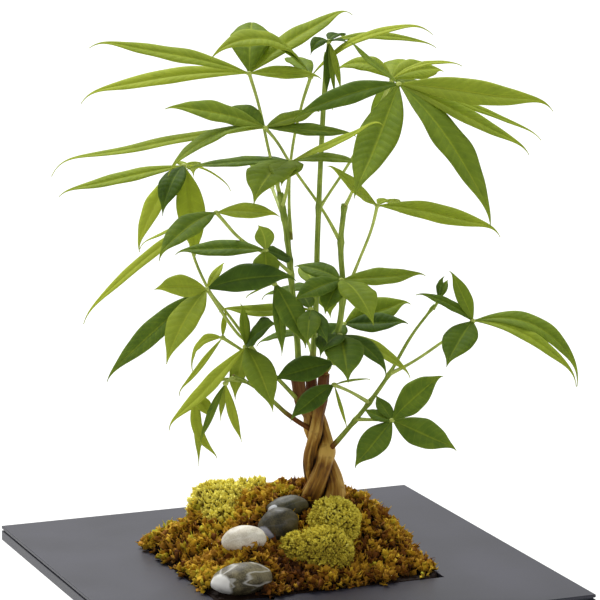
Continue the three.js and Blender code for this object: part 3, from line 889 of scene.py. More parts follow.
@dataclass
class Stem:
    """A green stem or shoot along a line, in mm in the plant's frame."""

    name: str
    skin: Skin
    foot_radius: float
    end_radius: float
    line: tuple[Place, ...]
    sunk: float = 3
    sides: int = 14

    def points(self) -> list[Vector]:
        """The stem's line, drawn back into what it grows from."""
        line = [Vector(point) for point in self.line]
        back = (line[0] - line[1]).normalized() * self.sunk
        return [line[0] + back, *line[1:]]

    def build(self) -> Object:
        """Models the stem, with a swelling where each leaf stalk leaves it."""
        line = self.points()
        last = len(line) - 1
        radii = [self.foot_radius + (self.end_radius - self.foot_radius) * i / last
                 for i in range(last + 1)]
        bar = tube(line, radii, self.sides, 14)
        nodes = [Vector(leaf.stalk[0]) for leaf in LEAVES if leaf.stem == self.name]

        def swelling(centre: Vector, along: float, turn: float) -> float:
            """How far the skin stands off here."""
            x, y = math.cos(turn), math.sin(turn)
            uneven = noise.noise(Vector((x * 1.5, y * 1.5, along * 9 + self.foot_radius)))
            joints = sum(math.exp(-((centre - node).length / 2.4) ** 2) for node in nodes)
            return 0.12 * uneven + 0.55 * min(1.0, joints)

        push_rings(bar, self.sides, swelling)
        return closed(bar)


STEMS = (
    Stem("stem_left", Skin.HALF_BROWN, 1.9, 1.5,
         ((6, 10, 103.5), (6, 9, 117), (3, 6, 152), (0, 8, 183), (-4, 12, 209))),
    Stem("stem_middle", Skin.GREEN, 1.8, 1.3,
         ((13.6, 17, 103.5), (16, 15, 141), (17, 13, 185), (20, 12, 253), (22, 12, 288))),
    Stem("stem_right", Skin.GREEN, 1.8, 1.5,
         ((21, 8, 106.5), (26, 4, 121), (31, 2, 150), (30, 4, 182), (32, 4, 204))),
    Stem("branch_right", Skin.HALF_BROWN, 1.6, 0.7,
         ((24, 8, 62), (33, 2, 74), (46, -4, 92), (57, -3, 108), (70, 4, 129), (83, 11, 145))),
    Stem("twig_left_upper", Skin.HALF_BROWN, 1.3, 0.8,
         ((8, 10, 88), (-5, -2, 105), (-15, -12, 117), (-23, -21, 126))),
    Stem("twig_left_lower", Skin.BROWN, 1.5, 0.8,
         ((12, 10, 74), (0, 2, 84), (-10, -10, 96), (-21, -22, 107), (-30, -30, 113))),
)


class Stems:
    """The stems out of the trunk's strands and the shoots from its side."""

    def build(self) -> None:
        """Models and dresses each stem."""
        skins = {skin: StemFinish("stem_" + skin.name.lower(), browned_to=skin.value).material()
                 for skin in Skin}
        for stem in STEMS:
            piece = stem.build()
            wear(piece, skins[stem.skin])
            select_only(piece)
            bpy.ops.object.shade_smooth()
            settle(piece, stem.name + "_shoot", stem.name, Slot.STEM, PLANT_PLACE)


# ---------------------------------------------------------------- leaves


class Pattern(Enum):
    """A leaflet sheet's rows, columns and pairs of side veins, by the leaflet's length."""

    SHORT = (28, 8, 7)
    MIDDLE = (52, 10, 11)
    LONG = (84, 12, 17)

    @classmethod
    def for_length(cls, length: float) -> "Pattern":
        """The pattern for a leaflet of this many mm."""
        if length < 30:
            return cls.SHORT
        return cls.MIDDLE if length < 62 else cls.LONG


# Each leaflet's tone letter sets how light it is, from d to b: partly its own colour and partly
# painted light and shade where it hangs.
TONES = {"d": 0.12, "g": 0.32, "f": 0.5, "y": 0.72, "b": 0.9}
BLADE_SKEW = 0.9
BLADE_TAPER = 1.15
BLADE_FOLD = 0.1


def blade_outline(along: float) -> float:
    """A leaflet's half width at a share of its length, as a share of its greatest."""
    body = math.sin(math.pi * min(1.0, along) ** BLADE_SKEW) ** BLADE_TAPER
    drawn_out = 1 - 0.3 * eased(along, 0.72, 0.95)
    least = 0.09 if along < 0.5 else 0.015
    return max(least, body * drawn_out)


def blade_relief(along: float, across: float, veins: int) -> float:
    """How far a leaflet's skin stands off its flat sheet, in half widths."""
    side = abs(across)
    belly = 0.08 * math.sin(math.pi * side)
    groove = 0.05 * math.exp(-((side / 0.09) ** 2))
    rung = abs(math.sin(math.pi * veins * (along - VEIN_SLANT * side)))
    quilt = 0.05 * rung * math.sin(math.pi * side) ** 0.6 * math.sin(math.pi * along) ** 0.5
    return belly - groove + quilt


@dataclass(frozen=True)
class Blade:
    """One leaflet, in mm from the leaf's hub.

    Its tip is right, away and up; width is its greatest; droop is how far its middle bows up
    off the straight line; facing is how many degrees its upper face rolls to the front; fold
    is how steeply its halves rise from the midrib.
    """

    right: float
    away: float
    up: float
    width: float
    droop: float
    facing: float
    fold: float = BLADE_FOLD

    def grown(self, masters: dict[Pattern, Object], tone: str, rng: random.Random) -> Object:
        """Copies the sheet for this leaflet's length and bends it into place.

        Args:
            masters: The flat sheet of each pattern.
            tone: The letter of its tone.
            rng: The source of its small differences.

        Returns:
            The bent sheet, in the frame of the leaf's hub.
        """
        tip = Vector((self.right, self.away, self.up))
        pattern = Pattern.for_length(tip.length)
        sheet = masters[pattern].copy()
        sheet.data = masters[pattern].data.copy()
        bpy.context.scene.collection.objects.link(sheet)
        mark(sheet, "tone", TONES[tone] + rng.uniform(-0.04, 0.04))
        mark(sheet, "veins", pattern.value[2])
        chord = tip.normalized()
        lift = (Vector((0, 0, 1)) - chord * chord.z).normalized()
        to_front = 1 if chord.cross(lift).y < 0 else -1
        roll = math.radians(self.facing) * to_front
        bow = tip / 2 + lift * 2 * self.droop
        twist = math.radians(rng.uniform(-9, 9))
        ripple, phase = rng.uniform(0.03, 0.07), rng.uniform(0, math.tau)
        hook = tip.length * rng.uniform(0.01, 0.045)
        for point in sheet.data.vertices:
            u, across, relief = point.co
            upper = Matrix.Rotation(roll + twist * (u - 0.4), 3, chord) @ lift
            middle = bow * (2 * u * (1 - u)) + tip * (u * u)
            middle = middle + lift * hook * u**9 * (1 - u) / 0.0387
            along = (bow * (2 - 4 * u) + tip * (2 * u)).normalized()
            beam = upper.cross(along).normalized()
            normal = along.cross(beam)
            half = self.width / 2
            wave = math.sin(u * 19 + phase + (1.3 if across > 0 else 0)) * across * across
            swell = blade_outline(u)
            rise = relief + ripple * wave * swell + self.fold * math.hypot(across, 0.08 * swell)
            point.co = middle + beam * (across * half) + normal * (rise * half)
        return sheet


@dataclass(frozen=True)
class Leaf:
    """A hand-shaped leaf: a stalk off its stem, a small hub and its leaflets."""

    name: str
    stem: str
    slot: Slot
    tones: str
    hub: Place
    stalk: tuple[Place, ...]
    blades: tuple[tuple[float, ...], ...]
    stalk_sides: int = 10

    def build(self, masters: dict[Pattern, Object], skins: dict) -> Object:
        """Grows the whole leaf.

        Args:
            masters: The flat sheet of each leaflet pattern.
            skins: The materials: a (top, under) pair for each slot, and the stalk's.

        Returns:
            The leaf as one object of closed shells.
        """
        rng = random.Random(self.name)
        sheets = [Blade(*row).grown(masters, tone, rng)
                  for row, tone in zip(self.blades, self.tones, strict=True)]
        leaf = joined(sheets)
        wear(leaf, *skins[self.slot])
        leaf.data.transform(Matrix.Translation(self.hub))
        apply_modifier(leaf, "SOLIDIFY", thickness=0.42, offset=0, material_offset=1)
        return joined([leaf, self.grow_stalk(skins[Slot.STEM]), self.grow_hub(skins[Slot.STEM])])

    def grow_stalk(self, skin: bpy.types.Material) -> Object:
        """The stalk, a little swollen at both ends."""
        line = [Vector(point) for point in (*self.stalk, self.hub)]
        radii = [1.25] + [0.85] * (len(line) - 2) + [1.05]
        stalk = closed(tube(line, radii, self.stalk_sides, 8))
        wear(stalk, skin)
        return stalk

    def grow_hub(self, skin: bpy.types.Material) -> Object:
        """The small knot in which the leaflets meet."""
        hub = added(bpy.ops.mesh.primitive_ico_sphere_add, subdivisions=3, radius=1.7,
                    location=self.hub, scale=(1, 1, 0.8))
        bpy.ops.object.transform_apply(location=True, rotation=True, scale=True)
        wear(hub, skin)
        return hub


LEAVES = (
    Leaf("leaf_top_left", "stem_left", Slot.UPPER, "ybfyy", hub=(-21, 5, 277),
         stalk=((-4, 12, 207), (-10, 9, 232), (-16, 6, 260)),
         blades=((-88, -8, 15, 15, 3.5, 25), (-95, 23, -20, 13, 6, 35),
                 (1, 55, 19, 23, 10, 0, -0.15), (58, 60, 26, 14, 5, 20), (40, -2, -3, 9, 2, 45))),
    Leaf("leaf_crown_left", "stem_left", Slot.UPPER, "yffb", hub=(13, 20, 273),
         stalk=((2, 8, 183), (1, 17, 204), (2, 23, 226), (8, 20, 257)),
         blades=((-55, -35, 14, 22, 16, 20), (-22, -20, 18, 13, 4, 30), (-14, 51, 3, 14, 4, 0),
                 (67, -28, 27, 10, 11, 25))),
    Leaf("leaf_crown_top", "stem_middle", Slot.UPPER, "dyddfyd", hub=(23, 12, 294),
         stalk=((22, 12, 284), (22.5, 12, 290)),
         blades=((10, -6, 0, 8, 1, 0), (61, 29, -7, 9, 4.5, 20), (9, 24, -1, 10, 3, 0),
                 (-1, -8, -29, 4.5, 1, 10), (3, -12, -30, 3, 1, 10), (6, -10, -27, 4, 2, 10),
                 (-10, -14, -6, 8, 4, 20))),
    Leaf("leaf_top_right", "stem_right", Slot.UPPER, "yyyffgff", hub=(61, -25, 275),
         stalk=((32, 4, 202), (36, -4, 212), (44, -12, 234), (54, -20, 257)),
         blades=((83, -15, -13, 16, 2.5, 50), (79, 13, -33, 10, 3, 15), (70, -20, -36, 13, 2, 25),
                 (48, -47, -71, 26, 8, 0), (-25, -50, -55, 25, -1, 0), (-57, -5, -19, 14, 3.5, 45),
                 (-36, 33, -19, 9, 4, 30), (-28, 30, 19, 6, 0, 0))),
    Leaf("leaf_rear_top", "stem_middle", Slot.UPPER, "yybffy", hub=(59, 35, 270),
         stalk=((18, 13, 200), (22, 14, 206), (35, 20, 225), (47, 28, 245)),
         blades=((14, 60, 0, 20, 6, 0, -0.05), (30, 26, 1, 18, 3, 30), (40, 10, 6, 7, 5, 10),
                 (-4, 36, -52, 18, 6, 0), (20, 48, -22, 15, 5, 0), (-32, 20, 1, 13, 7, 30))),
    Leaf("leaf_left_upper", "stem_right", Slot.LOWER, "fyffgg", hub=(-12, -12, 249),
         stalk=((30, 4, 182), (20, 17, 198), (4, 18, 221), (-6, 0, 240)),
         blades=((-54, -26, 14, 18, 3, 35), (-119, 12, -29, 11, 4.5, 20),
                 (-52, -44, -20, 16, 9, 0), (30, 20, 6, 12, 1, 20), (50, 8, -6, 12, 1, 25),
                 (-26, 20, 6, 16, 2, 40))),
    Leaf("leaf_centre_upper", "stem_left", Slot.LOWER, "gffydf", hub=(2, 2, 228),
         stalk=((-3, 11, 200), (0, 5, 213)),
         blades=((-58, -6, -4, 12, 2, 15), (40, -14, 0, 12, 3, 15), (-20, -42, -17, 28, 6, 0),
                 (49, -98, 34, 7, 1, 50), (-31, 38, -5, 8, 1, 10), (-5, -36, -8, 19, 3, 0))),
    Leaf("leaf_left_rear", "twig_left_upper", Slot.UPPER, "ybbbyd", hub=(-59, 46, 219),
         stalk=((-11, -8, 112), (-30, -2, 138), (-46, 15, 156), (-58, 38, 189)),
         blades=((-71, -6, -17, 12, 1.5, 25), (-25, -16, -47, 19, 5, 0), (6, -16, -52, 17, 3, 0),
                 (26, 20, -18, 7, 4, 10), (4, 46, -14, 14, 4, 0), (-11, -30, -24, 15, 5, 0))),
    Leaf("leaf_left_middle", "stem_left", Slot.LOWER, "bygy", hub=(-39, -20, 203),
         stalk=((1, 7, 171), (-23, -8, 184)),
         blades=((-72, -28, -57, 9, 6, 20), (35, -14, 0, 11, 2, 40), (-30, -40, -20, 16, 5, 20),
                 (-43, 14, -23, 8, 2, 10))),
    Leaf("leaf_right_arc", "stem_right", Slot.UPPER, "yyy", hub=(50, -8, 205),
         stalk=((31, 3, 149), (40, -3, 173), (47, -6, 192)),
         blades=((67, -22, -14, 13, 4, 40), (-28, -32, 27, 12, 0, 55), (14, 44, -12, 11, 5, 0))),
    Leaf("leaf_rear_high", "stem_left", Slot.LOWER, "ff", hub=(-9, 45, 207),
         stalk=((-2, 10, 195), (-6, 28, 202)),
         blades=((4, 60, -10, 14, 6, 0), (-12, 50, 6, 13, 4, 0))),
    Leaf("leaf_left_stem", "stem_left", Slot.LOWER, "gfdf", hub=(-12, -20, 182),
         stalk=((3, 7, 163), (-6, -8, 174)),
         blades=((-50, 8, -4, 14, 2, 30), (-4, -4, 14.5, 11, 2, -40), (15, 24, -11, 11, 0.5, 45),
                 (1, -14, -16, 15, 0, 0))),
    Leaf("leaf_left_lower", "twig_left_upper", Slot.LOWER, "ygydb", hub=(-44, -35, 163),
         stalk=((-18, -16, 121), (-21, -15, 127), (-28, -22, 136)),
         blades=((-28, -17, 3, 15, 1.5, 45), (-54, -23, -47, 15, 3, 35), (-21, -33, -35, 20, 4, 0),
                 (49, -7, 6, 17.5, 4, 50), (9, 30, 9, 5, 1, 10))),
    Leaf("leaf_low_left", "twig_left_upper", Slot.LOWER, "bfydf", hub=(-23, -27, 129),
         stalk=((-22, -20, 125), (-23, -24, 127)),
         blades=((-42, -15, -44, 11, 0.5, 25), (15.5, -40, -28, 17, 4, 10),
                 (-6, 13, -33, 12, 2, 10), (17, -11, 15, 22, 2, 35), (-3, 2, 24, 7, 1, 20))),
    Leaf("leaf_low_left_small", "twig_left_upper", Slot.UPPER, "bbb", hub=(-36, -12, 131),
         stalk=((-15, -12, 117), (-26, -10, 124)),
         blades=((-24, -10, -31, 4.5, 0.5, 20), (-17, 12, -23, 9, 8, 40), (2, 6, 15, 3, 1, 20))),
    Leaf("leaf_low_left_tip", "twig_left_lower", Slot.LOWER, "bgy", hub=(-34, -35, 110),
         stalk=((-29, -29, 112.3), (-32, -33, 111.5)),
         blades=((9, -14, -30, 5.5, -1.5, 10), (-13, -14, -32, 5, 2, 10), (-3, 12, -24, 4, 1, 10))),
    Leaf("leaf_low_left_end", "twig_left_lower", Slot.LOWER, "bby", hub=(-51, -20, 101.5),
         stalk=((-25, -25, 109.5), (-38, -22, 109)),
         blades=((12, -12, -35, 7, -8, 10), (9, -12, -12, 9, 0, 10), (1, 10, -45, 5, 2, 10))),
    Leaf("leaf_right_stem", "stem_right", Slot.LOWER, "fggfg", hub=(30, -14, 164),
         stalk=((31, 2, 152), (31, -7, 160)),
         blades=((47, 8, 1, 13, 0.5, 35), (-26, -22, -8, 14, 2, 30), (-26, 24, 3, 13, 2, 25),
                 (17, -41, -17, 20, 5, 0), (-9, -16, -16, 14, 2, 10))),
    Leaf("leaf_right_low_stem", "stem_right", Slot.LOWER, "fdd", hub=(32, 16, 133),
         stalk=((28, 3, 126), (31, 10, 131)),
         blades=((38, 12, 9, 18.5, 1.5, 40), (36, -10, 2, 15, 0.5, 35), (-12, -24, -8, 15, 2, 15))),
    Leaf("leaf_front_right", "stem_right", Slot.LOWER, "dygd", hub=(29, -34, 137),
         stalk=((25, 5, 117), (27, -16, 128)),
         blades=((25, -18, -19, 13, 5, 10), (39, 4, -25, 12, 4, 25), (4, -44, -17, 22, 4, 0),
                 (-11, -30, -6, 16, 3, 0))),
    Leaf("leaf_front_left", "stem_right", Slot.LOWER, "dd", hub=(26, -28, 120),
         stalk=((22.5, 6.8, 110.5), (24, -10, 116.5)),
         blades=((-33, -16, -7, 16, 1.5, 45), (-12, 20, -8, 10, 2, 0))),
    Leaf("leaf_front_low", "branch_right", Slot.LOWER, "dyf", hub=(26, -34, 109),
         stalk=((46, -4, 92), (35, -20, 102)),
         blades=((-24, -22, -16, 12, 2, 40), (7, -6, -23.5, 2.4, 0, 10), (20, 4, 2, 4, 1, 0))),
    Leaf("leaf_right_end", "branch_right", Slot.UPPER, "fyfgg", hub=(104, 0, 138),
         stalk=((57, -3, 108), (70, -3, 115), (88, -1, 127)),
         blades=((58, -12, -35, 15.5, 17, 25), (56, -30, -31, 9, 10, 25), (-13, 8, 27, 11, 1, 20),
                 (-32, 4, 14, 10, 3, 20), (-16, -34, -19, 19, 2, 10))),
    Leaf("leaf_right_bud", "branch_right", Slot.LOWER, "dg", hub=(86, 13, 148),
         stalk=((82, 10, 143), (84.5, 12, 146)),
         blades=((2.5, 0, 13, 9, 1, 20), (5, 10, 9, 5, 1, 10))),
    Leaf("leaf_right_low", "branch_right", Slot.LOWER, "ggggg", hub=(58.5, -22, 86),
         stalk=((38, 0, 81.5), (49, -12, 84)),
         blades=((28, -8, 27, 19, 1.5, 55), (35, -18, -13, 18, 0.5, 45),
                 (-21, -22, -22, 16, 0.5, 30), (-16, 4, 5, 11, -0.5, 20), (-9, 14, 11, 9, 0, 10))),
    Leaf("leaf_left_low_stem", "stem_left", Slot.LOWER, "ggf", hub=(-7, -30, 165),
         stalk=((4, 6, 146), (-2, -12, 157)),
         blades=((17, -20, -32, 17, 2, 10), (4, -12, -38, 7, 3, 10), (-16, 20, -12, 6, 1, 15))),
    Leaf("leaf_front_centre", "stem_left", Slot.LOWER, "gdgy", hub=(13, -36, 152),
         stalk=((6, 7, 130), (9, -14, 143)),
         blades=((-2, -24, -15, 13, 2, 0), (9, -24, -14, 10, 1, 10), (-5, 15, 5, 9, 1, 10),
                 (-51, 26, -7, 9, 0, 40))),
    Leaf("leaf_rear_centre", "stem_middle", Slot.LOWER, "fgff", hub=(17, 52, 146),
         stalk=((16, 15, 138), (17, 34, 145)),
         blades=((32, 18, -12, 15, 3, 10), (-32, 14, -9, 15, 3, 10), (8, 36, -24, 16, 4, 0),
                 (-10, 38, 6, 12, 2, 0))),
    Leaf("leaf_rear_low", "stem_middle", Slot.LOWER, "dgf", hub=(9, 48, 120),
         stalk=((15, 16, 112), (12, 34, 118)),
         blades=((26, 18, -13, 14, 3, 10), (-27, 10, -9, 14, 3, 10), (20, 36, -22, 14, 4, 0))),
)


class Canopy:
    """All the leaves."""

    def masters(self) -> dict[Pattern, Object]:
        """Models one flat leaflet sheet for each pattern: unit length, unit half width."""
        sheets = {}
        for pattern in Pattern:
            rows, columns, veins = pattern.value
            sheet = added(bpy.ops.mesh.primitive_grid_add, x_subdivisions=rows,
                          y_subdivisions=columns, size=2)
            with editing(sheet):
                bpy.ops.mesh.select_all(action="SELECT")
                bpy.ops.transform.resize(value=(0.5, 1, 1), center_override=(0, 0, 0))
                bpy.ops.transform.translate(value=(0.5, 0, 0))
            for point in sheet.data.vertices:
                along, across = point.co.x, point.co.y
                half = blade_outline(along)
                point.co.y = across * half
                point.co.z = half * blade_relief(along, across, veins)
            sheets[pattern] = sheet
        return sheets

    def build(self) -> None:
        """Grows and dresses each leaf."""
        masters = self.masters()
        upper = LeafFinish("upper_leaf_top")
        # The lower leaves' finish is a lighter copy of the upper one: painted light on leaves that
        # hang in the canopy's shade.
        lower = LeafFinish("lower_leaf_top", shade=0.06, share=0.3)
        skins = {
            Slot.UPPER: (upper.material(), self.underside("upper_leaf_under", upper)),
            Slot.LOWER: (lower.material(), self.underside("lower_leaf_under", lower)),
            Slot.STEM: StemFinish("leaf_stalk", rgb(152, 168, 76), rgb(194, 206, 108),
                                  rgb(120, 120, 44), 0.05).material(),
        }
        for leaf in LEAVES:
            piece = leaf.build(masters, skins)
            select_only(piece)
            bpy.ops.object.shade_smooth()
            settle(piece, leaf.name + "_grown", leaf.name, leaf.slot, PLANT_PLACE)
        for sheet in masters.values():
            bpy.data.objects.remove(sheet)

    def underside(self, name: str, top: LeafFinish) -> bpy.types.Material:
        """The paler and duller underside of a leaflet."""
        return LeafFinish(name, rgb(74, 98, 42), rgb(110, 136, 54), rgb(150, 168, 64),
                          rgb(188, 198, 80), rib=0.4, shade=top.shade, roughness=0.6,
                          share=top.share).material()


# ---------------------------------------------------------------- pebbles


@dataclass(frozen=True)
class Pebble:
    """A pebble, in mm in the plant's frame, tilted about y and turned about z in degrees."""

    name: str
    slot: Slot
    at: Place
    radii: Place
    tilt: float
    turn: float
    phase: float
    finish: StoneFinish
    clear: float = 0.06

    def frame(self) -> Matrix:
        """From a unit ball about the origin to the pebble's outside."""
        turned = (Matrix.Rotation(math.radians(self.turn), 4, "Z")
                  @ Matrix.Rotation(math.radians(self.tilt), 4, "Y"))
        return Matrix.Translation(self.at) @ turned @ Matrix.Diagonal((*self.radii, 1))

    def holds(self, point: Vector, grow: float) -> bool:
        """Whether a point lies inside the pebble grown by a share of its size."""
        return (self.frame().inverted() @ point).length < 1 + grow

    def build(self) -> Object:
        """Models the pebble as a worn, slightly uneven ball."""
        ball = added(bpy.ops.mesh.primitive_ico_sphere_add, subdivisions=6, radius=1)
        for point in ball.data.vertices:
            p = point.co.copy()
            broad = math.sin(3 * p.x + self.phase) * math.cos(2.5 * p.y - self.phase)
            wave = broad + 0.5 * math.sin(4 * p.z + self.phase)
            worn = noise.noise(p * 2.2 + Vector((self.phase, 0, 0)))
            point.co = p * (1 + 0.03 * wave + 0.04 * worn)
        ball.data.transform(self.frame())
        return ball

    def dress(self, piece: Object) -> None:
        """Gives the pebble its finish and fixes it in place."""
        wear(piece, self.finish.material())
        select_only(piece)
        bpy.ops.object.shade_smooth()
        settle(piece, self.name + "_stone", self.name, self.slot, PLANT_PLACE)


def stone_centre(node: str) -> Place:
    """The middle of a pebble's packed box, in metres."""
    low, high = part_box(node)
    return tuple((low + high) / 2)


PEBBLES = (
    Pebble("pebble_back", Slot.DARK_STONE, (0, -5, 31.5), (12, 8.5, 6.5), -6, 10, 0.4,
           StoneFinish("dark_pebble", rgb(44, 44, 30), rgb(88, 82, 56), rgb(206, 208, 214), 0.06,
                       (-0.0115, -0.004, -0.001), 0.0045, stone_centre("pebble_back"))),
    Pebble("pebble_middle", Slot.DARK_STONE, (-5, -23, 25.5), (12.5, 9, 10), -32, -15, 1.3,
           StoneFinish("grey_pebble", rgb(42, 40, 26), rgb(84, 76, 50), rgb(166, 172, 192), 0.06,
                       (-0.0112, -0.0025, -0.0068), 0.0085, stone_centre("pebble_middle"))),
    Pebble("pebble_white", Slot.PALE_STONE, (-24, -40, 22.5), (12.5, 9, 7.5), -8, -10, 2.2,
           StoneFinish("white_pebble", rgb(196, 186, 166), rgb(228, 222, 206),
                       rgb(246, 242, 234), 0.3, (0, 0, 0.02), 0.004,
                       stone_centre("pebble_white")), clear=-0.12),
    Pebble("pebble_front", Slot.DARK_STONE, (-25, -71, 8.5), (17, 12, 8.5), -5, 12, 3.1,
           StoneFinish("veined_pebble", rgb(62, 56, 38), rgb(132, 122, 90),
                       rgb(240, 238, 232), 0.45, (-0.0186, -0.0045, -0.004), 0.0115,
                       stone_centre("pebble_front")), clear=0.3),
)


class Pebbles:
    """The four pebbles."""

    def build(self) -> None:
        """Models and dresses each pebble."""
        for pebble in PEBBLES:
            pebble.dress(pebble.build())


# ---------------------------------------------------------------- moss


@dataclass(frozen=True)
class Lobe:
    """One rounded lobe of a moss cushion, in mm in the plant's frame."""

    at: Place
    radii: Place
    phase: float

    def holds(self, point: Vector, grow: float = 0.0) -> bool:
        """Whether a point lies inside the lobe grown by some mm."""
        away = point - Vector(self.at)
        return sum((away[i] / (self.radii[i] + grow)) ** 2 for i in range(3)) < 1

    def build(self, inward: float) -> Object:
        """Models the lobe as a ball whose skin lies inward of its radii by some mm."""
        ball = added(bpy.ops.mesh.primitive_ico_sphere_add, subdivisions=4, radius=1)
        ball.data.transform(Matrix.Diagonal((*[r - inward for r in self.radii], 1)))
        ball.data.transform(Matrix.Translation(self.at))
        return ball


CUSHION_LEFT = (
    Lobe((-38, 28, 25), (17, 17, 11), 0.5),
    Lobe((-21, 37, 27), (12, 12, 9), 1.9),
    Lobe((-35, 13, 19), (14, 13, 9), 3.2),
)
CUSHION_FRONT = (
    Lobe((26, -15, 24), (14, 14, 15), 1.1),
    Lobe((21, -36, 14), (15, 13, 14), 2.7),
    Lobe((5, -36, 15), (9, 9, 9), 0.2),
)


@dataclass(frozen=True)
class Sprig:
    """A small branching sprig of moss, in mm, modelled once for each variant."""

    length: float = 5.2
    radius: float = 0.5
    joints: int = 2
    shoot: float = 1.3

    def build(self, rng: random.Random) -> tuple[np.ndarray, list[tuple[int, ...]]]:
        """Draws a stem out of a small square and side shoots out of some of its faces.

        Args:
            rng: The source of its bends.

        Returns:
            Its points and its faces.
        """
        stem = added(bpy.ops.mesh.primitive_circle_add, vertices=4, radius=self.radius,
                     fill_type="NGON")
        at = Vector((0, 0, 0))
        with editing(stem, "FACE"):
            bpy.ops.mesh.select_all(action="SELECT")
            for _ in range(self.joints):
                bend = self.length * 0.3
                move = Vector((rng.uniform(-bend, bend), rng.uniform(-bend, bend),
                               self.length / self.joints))
                at = at + move
                bpy.ops.mesh.extrude_region_move(TRANSFORM_OT_translate={"value": move})
                bpy.ops.transform.resize(value=(0.8, 0.8, 0.8), center_override=at)
            bpy.ops.mesh.select_all(action="SELECT")
            bpy.ops.mesh.normals_make_consistent(inside=False)
            select_faces(stem, lambda centre, normal: centre.z > 0.3 and rng.random() < 0.6)
            bpy.ops.mesh.inset(use_individual=True, thickness=self.radius * 0.28,
                               depth=self.shoot)
        points = np.array([point.co for point in stem.data.vertices])
        faces = [tuple(face.vertices) for face in stem.data.polygons]
        bpy.data.objects.remove(stem)
        return points, faces


def seats_on(surface: Object, count: int, rng: np.random.Generator) -> tuple[np.ndarray, ...]:
    """Scatters points over a mesh, evenly by area.

    Args:
        surface: The mesh object.
        count: How many points.
        rng: The source of their places.

    Returns:
        The points, and the outward normal at each.
    """
    surface.data.calc_loop_triangles()
    points = np.array([point.co for point in surface.data.vertices])
    corners = points[[tuple(t.vertices) for t in surface.data.loop_triangles]]
    first, second = corners[:, 1] - corners[:, 0], corners[:, 2] - corners[:, 0]
    cross = np.cross(first, second)
    area = np.linalg.norm(cross, axis=1)
    picks = rng.choice(len(area), count, p=area / area.sum())
    a, b = rng.random(count), rng.random(count)
    flip = a + b > 1
    a[flip], b[flip] = 1 - a[flip], 1 - b[flip]
    seats = corners[picks, 0] + a[:, None] * first[picks] + b[:, None] * second[picks]
    return seats, cross[picks] / area[picks, None]


@dataclass
class Growth:
    """Sprigs of one kind that grow out of a surface.

    wild is how far they lean at random, lift how much they strive upwards, and sizes the
    range of their size.
    """

    sprig: Sprig
    wild: float
    lift: float
    sizes: tuple[float, float]
    variants: int = 6

    def scatter(self, name: str, seats: np.ndarray, normals: np.ndarray,
                tone_at: Callable[[Vector], float], rng: np.random.Generator) -> Object:
        """Makes one mesh of many turned and scaled copies.

        Args:
            name: The mesh's name.
            seats: Where each copy grows.
            normals: The surface's normal there.
            tone_at: The tone of a sprig at a place.
            rng: The source of their turns.

        Returns:
            The mesh object, with each point's tone and height along its sprig.
        """
        maker = random.Random(name)
        shapes = [self.sprig.build(maker) for _ in range(self.variants)]
        points, faces, tones, heights = [], [], [], []
        used = 0
        for seat, normal in zip(seats, normals):
            shape, shape_faces = shapes[rng.integers(self.variants)]
            lean = Vector(normal + rng.normal(0, self.wild, 3)) + Vector((0, 0, self.lift))
            turn = lean.to_track_quat("Z", "Y").to_matrix()
            spin = Matrix.Rotation(rng.uniform(0, math.tau), 3, "Z")
            size = rng.uniform(*self.sizes)
            points.append(shape @ np.array(turn @ spin).T * size + seat)
            faces += [tuple(used + corner for corner in face) for face in shape_faces]
            used += len(shape)
            tone = tone_at(Vector(seat)) + rng.normal(0, 0.14)
            tones.append(np.full(len(shape), tone))
            heights.append(shape[:, 2].clip(0) / self.sprig.length)
        mesh = bpy.data.meshes.new(name)
        mesh.from_pydata(np.concatenate(points), [], faces)
        piece = bpy.data.objects.new(name, mesh)
        bpy.context.scene.collection.objects.link(piece)
        mark(piece, "tone", np.concatenate(tones))
        mark(piece, "height", np.concatenate(heights))
        return piece


